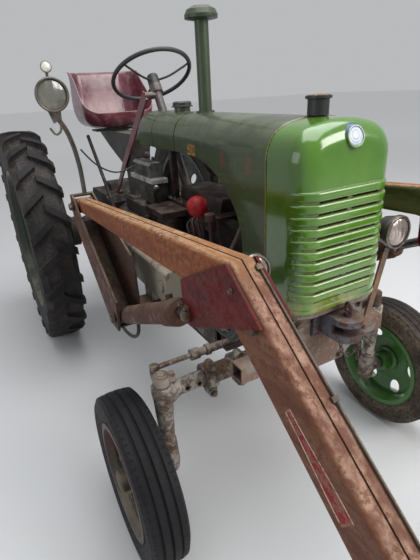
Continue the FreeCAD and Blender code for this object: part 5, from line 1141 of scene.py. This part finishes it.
def make_bolts():
    """Bolt heads and nuts on the chassis, the wheels and the boom."""
    ahead = Vector((1, 0, 0))
    up = Vector((0, 0, 1))

    def build_chassis(bm):
        for side in (1, -1):
            for y in (0.349, 0.225):
                for lift in (0.058, -0.058):
                    spot = at(beam_x + 0.038, side * y, beam_z + lift)
                    add_bolt(bm, spot, ahead, across=0.019, height=0.012)
            for z in (front_tube[1] + 0.016, front_tube[1] - 0.016):
                add_bolt(bm, at(front_tube[0] + 0.0383, side * 0.213, z), ahead, across=0.014)
            for y, z in ((0.138, 0.905), (0.138, 0.800), (0.062, 0.720)):
                add_bolt(bm, at(2.191, side * y, z), ahead, across=0.017)
            for x in (1.250, 1.330, 1.410, 1.490):
                for z in (0.608, 0.716):
                    add_bolt(bm, at(x, side * 0.2053, z), Vector((0, side, 0)), across=0.019, height=0.012)
            for x in (0.36, 0.44):
                add_bolt(bm, at(x, side * 0.078, 1.0203), up, across=0.013)
            outer = side * (arm_y + 0.063)
            for x, z in (arm_pivot, cylinder_foot):
                add_bolt(bm, at(x, outer, z), Vector((0, side, 0)), across=0.030, height=0.012)
        for n in range(5):
            for side in (1, -1):
                add_bolt(bm, at(1.290 + 0.075 * n, side * 0.131, 1.1504), up, across=0.012)
        for n in range(7):
            for side in (-1, 1):
                add_bolt(bm, at(1.150 + 0.085 * n, side * 0.1504, 0.870), Vector((0, side, 0)), across=0.013)

    def build_boom(bm):
        for side in (1, -1):
            out = Vector((0, side, 0))
            x, z = cylinder_head
            add_turned(bm, at(x, side * (arm_y + 0.050), z), out,
                       [(0, 0), (0.016, 0), (0.016, 0.010), (0.012, 0.014), (0, 0.014)], sides=24)
            for shift in (-0.034, 0.0):
                spot = at(x + shift, side * (arm_y + 0.047), z + 0.021)
                add_bolt(bm, spot, out, across=0.012, height=0.007)
            for along in (0.05, 0.15):
                add_bolt(bm, along_arm(along, 0.030, side * (arm_y + 0.042)), out, across=0.010, height=0.004)

    piece("chassis_bolts", "chassis", finish_bolt, build_chassis, angle=30)
    piece("boom_bolts", "boom", finish_bolt, build_boom, angle=30)
    for hand, side in (("left", 1), ("right", -1)):
        out = Vector((0, side, 0))
        rear_disc = at(0, side * (rear_wheel_y - 0.085), rear_radius)
        front_disc = at(beam_x, side * (front_wheel_y + 0.028), front_radius)
        rear = nut_circle(rear_disc, out, 8, 0.085, 0.024, 0.016)
        front = nut_circle(front_disc, out, 5, 0.075, 0.018, 0.012)
        piece("rear_wheel_nuts_" + hand, "rear_wheel_set_" + hand, finish_bolt, rear, angle=30)
        piece("front_wheel_nuts_" + hand, "front_wheel_set_" + hand, finish_bolt, front, angle=30)


def make_trip_wire():
    """The bucket's trip wire, clipped along the inner edge of the right arm."""
    wire_y = -arm_y + arm_half_width - 0.006
    wire_radius = 0.0028
    clip_spots = (0.030, 0.330, 0.640, 0.950)

    def build(bm):
        path = [along_arm(0.020 + 0.040 * n, -wire_radius, wire_y) for n in range(28)]
        add_tube(bm, path, wire_radius, sides=8)
        for along in clip_spots:
            rows = [along_arm(along + shift, depth, wire_y + side) for shift in (-0.006, 0.006)
                    for side in (-0.009, 0.006) for depth in (-0.0066, 0.0006)]
            low, high = rows[:4], rows[4:]
            corners = (low[0], low[1], low[3], low[2], high[0], high[1], high[3], high[2])
            verts = [bm.verts.new(corner) for corner in corners]
            for face in ((0, 1, 2, 3), (7, 6, 5, 4), (0, 4, 5, 1), (1, 5, 6, 2), (2, 6, 7, 3), (3, 7, 4, 0)):
                bm.faces.new([verts[k] for k in face])

    piece("trip_wire", "boom", finish_bolt, build, angle=50)


def make_cap_disc():
    """The worn brass disc riveted on the radiator cap."""
    def build(bm):
        profile = [(0.034, 0), (0.034, 0.002), (0.031, 0.0036), (0.010, 0.0036), (0.008, 0.0052), (0, 0.0056)]
        add_turned(bm, at(2.084, 0, 1.5855), Vector((0, 0, 1)), profile, sides=36)

    piece("radiator_cap_disc", "chassis", finish_cap_disc, build, angle=40)


def make_hitch_chain():
    """The light chain that keeps the hitch pin, hung in two loops under the jaw."""
    def build(bm):
        knot = (2.302, 0.016, 0.846)
        first = [(2.292, -0.046, 0.866), (2.298, -0.044, 0.835), (2.304, -0.024, 0.812), (2.306, 0.0, 0.822),
                 knot]
        second = [knot, (2.304, 0.022, 0.800), (2.300, 0.036, 0.768), (2.292, 0.052, 0.790),
                  (2.284, 0.052, 0.850)]
        for hung in (first, second):
            add_chain(bm, [at(*spot) for spot in hung])

    piece("hitch_chain", "chassis", finish_hitch, build, angle=60)


def make_engine_pipes():
    """Rigid fuel, oil and hydraulic pipes on the right of the engine."""
    def add_pipe(bm, spots, radius, sides):
        add_tube(bm, rounded_path([at(*spot) for spot in spots], steps=6), radius, sides)

    def build(bm):
        for n in range(3):
            y = -0.158 - 0.009 * n
            z = 0.955 + 0.030 * n
            add_pipe(bm, [(1.255 + 0.02 * n, y, 0.905), (1.250 + 0.02 * n, y, z),
                          (1.420, y - 0.006, z + 0.014), (1.560, y, z), (1.600, y, z - 0.040)], 0.0040, 8)
        add_pipe(bm, [(1.690, -0.146, 0.985), (1.740, -0.150, 0.990), (1.790, -0.130, 1.060),
                      (1.830, -0.110, 1.150), (1.850, -0.080, 1.190)], 0.0080, 10)
        add_pipe(bm, [(1.180, -0.158, 0.880), (1.220, -0.166, 0.850), (1.340, -0.168, 0.846),
                      (1.480, -0.166, 0.852), (1.520, -0.162, 0.880)], 0.0070, 10)

    piece("engine_pipes", "chassis", finish_bolt, build, angle=60)


make_camera()
make_cords()
make_seams()
make_lamps()
make_bolts()
make_trip_wire()
make_cap_disc()
make_hitch_chain()
make_engine_pipes()


# Floor, light and view settings

backdrop_colour = (0.485, 0.492, 0.503, 1)


def make_stage():
    size = 60.0
    mesh = bpy.data.meshes.new("floor")
    corners = [(-size, -size, 0), (size, -size, 0), (size, size, 0), (-size, size, 0)]
    mesh.from_pydata(corners, [], [(0, 1, 2, 3)])
    mesh.materials.append(floor_finish("floor_plain"))
    floor = bpy.data.objects.new("floor", mesh)
    bpy.context.scene.collection.objects.link(floor)


def area_light(name, place, aim, size, power, colour=(1, 1, 1)):
    data = bpy.data.lights.new(name, "AREA")
    data.shape = "RECTANGLE"
    data.size = size[0]
    data.size_y = size[1]
    data.energy = power
    data.color = colour
    lamp = bpy.data.objects.new(name, data)
    place = Vector(place)
    lamp.matrix_world = Matrix.Translation(place) @ frame_of(place - Vector(aim))
    bpy.context.scene.collection.objects.link(lamp)


def make_light():
    world = bpy.data.worlds.new("world")
    world.use_nodes = True
    background = world.node_tree.nodes["Background"]
    background.inputs["Color"].default_value = (0.86, 0.88, 0.9, 1)
    background.inputs["Strength"].default_value = 0.55
    # what the camera, and glass and polished metal, see behind the tractor is the floor's own tone
    tree = world.node_tree
    seen = tree.nodes.new("ShaderNodeBackground")
    seen.inputs["Color"].default_value = backdrop_colour
    seen.inputs["Strength"].default_value = 1.0
    path = tree.nodes.new("ShaderNodeLightPath")
    looks = tree.nodes.new("ShaderNodeMath")
    looks.operation = "MAXIMUM"
    tree.links.new(path.outputs["Is Camera Ray"], looks.inputs[0])
    tree.links.new(path.outputs["Is Glossy Ray"], looks.inputs[1])
    through = tree.nodes.new("ShaderNodeMath")
    through.operation = "MAXIMUM"
    tree.links.new(looks.outputs[0], through.inputs[0])
    tree.links.new(path.outputs["Is Transmission Ray"], through.inputs[1])
    choice = tree.nodes.new("ShaderNodeMixShader")
    tree.links.new(through.outputs[0], choice.inputs[0])
    tree.links.new(background.outputs[0], choice.inputs[1])
    tree.links.new(seen.outputs[0], choice.inputs[2])
    tree.links.new(choice.outputs[0], tree.nodes["World Output"].inputs["Surface"])
    bpy.context.scene.world = world
    middle = (0, 0, 0.8)
    area_light("overhead", (0.5, 0.5, 6.0), middle, (6, 5), 330, (0.95, 0.98, 1))
    area_light("front_key", (5.0, 3.2, 4.2), middle, (3.5, 3), 280, (1, 0.98, 0.94))
    area_light("side_fill", (0.5, -6, 2.6), middle, (4, 3), 55, (0.94, 0.97, 1))


make_stage()
make_light()
bpy.context.scene.view_settings.view_transform = "Standard"

bpy.context.view_layer.update()
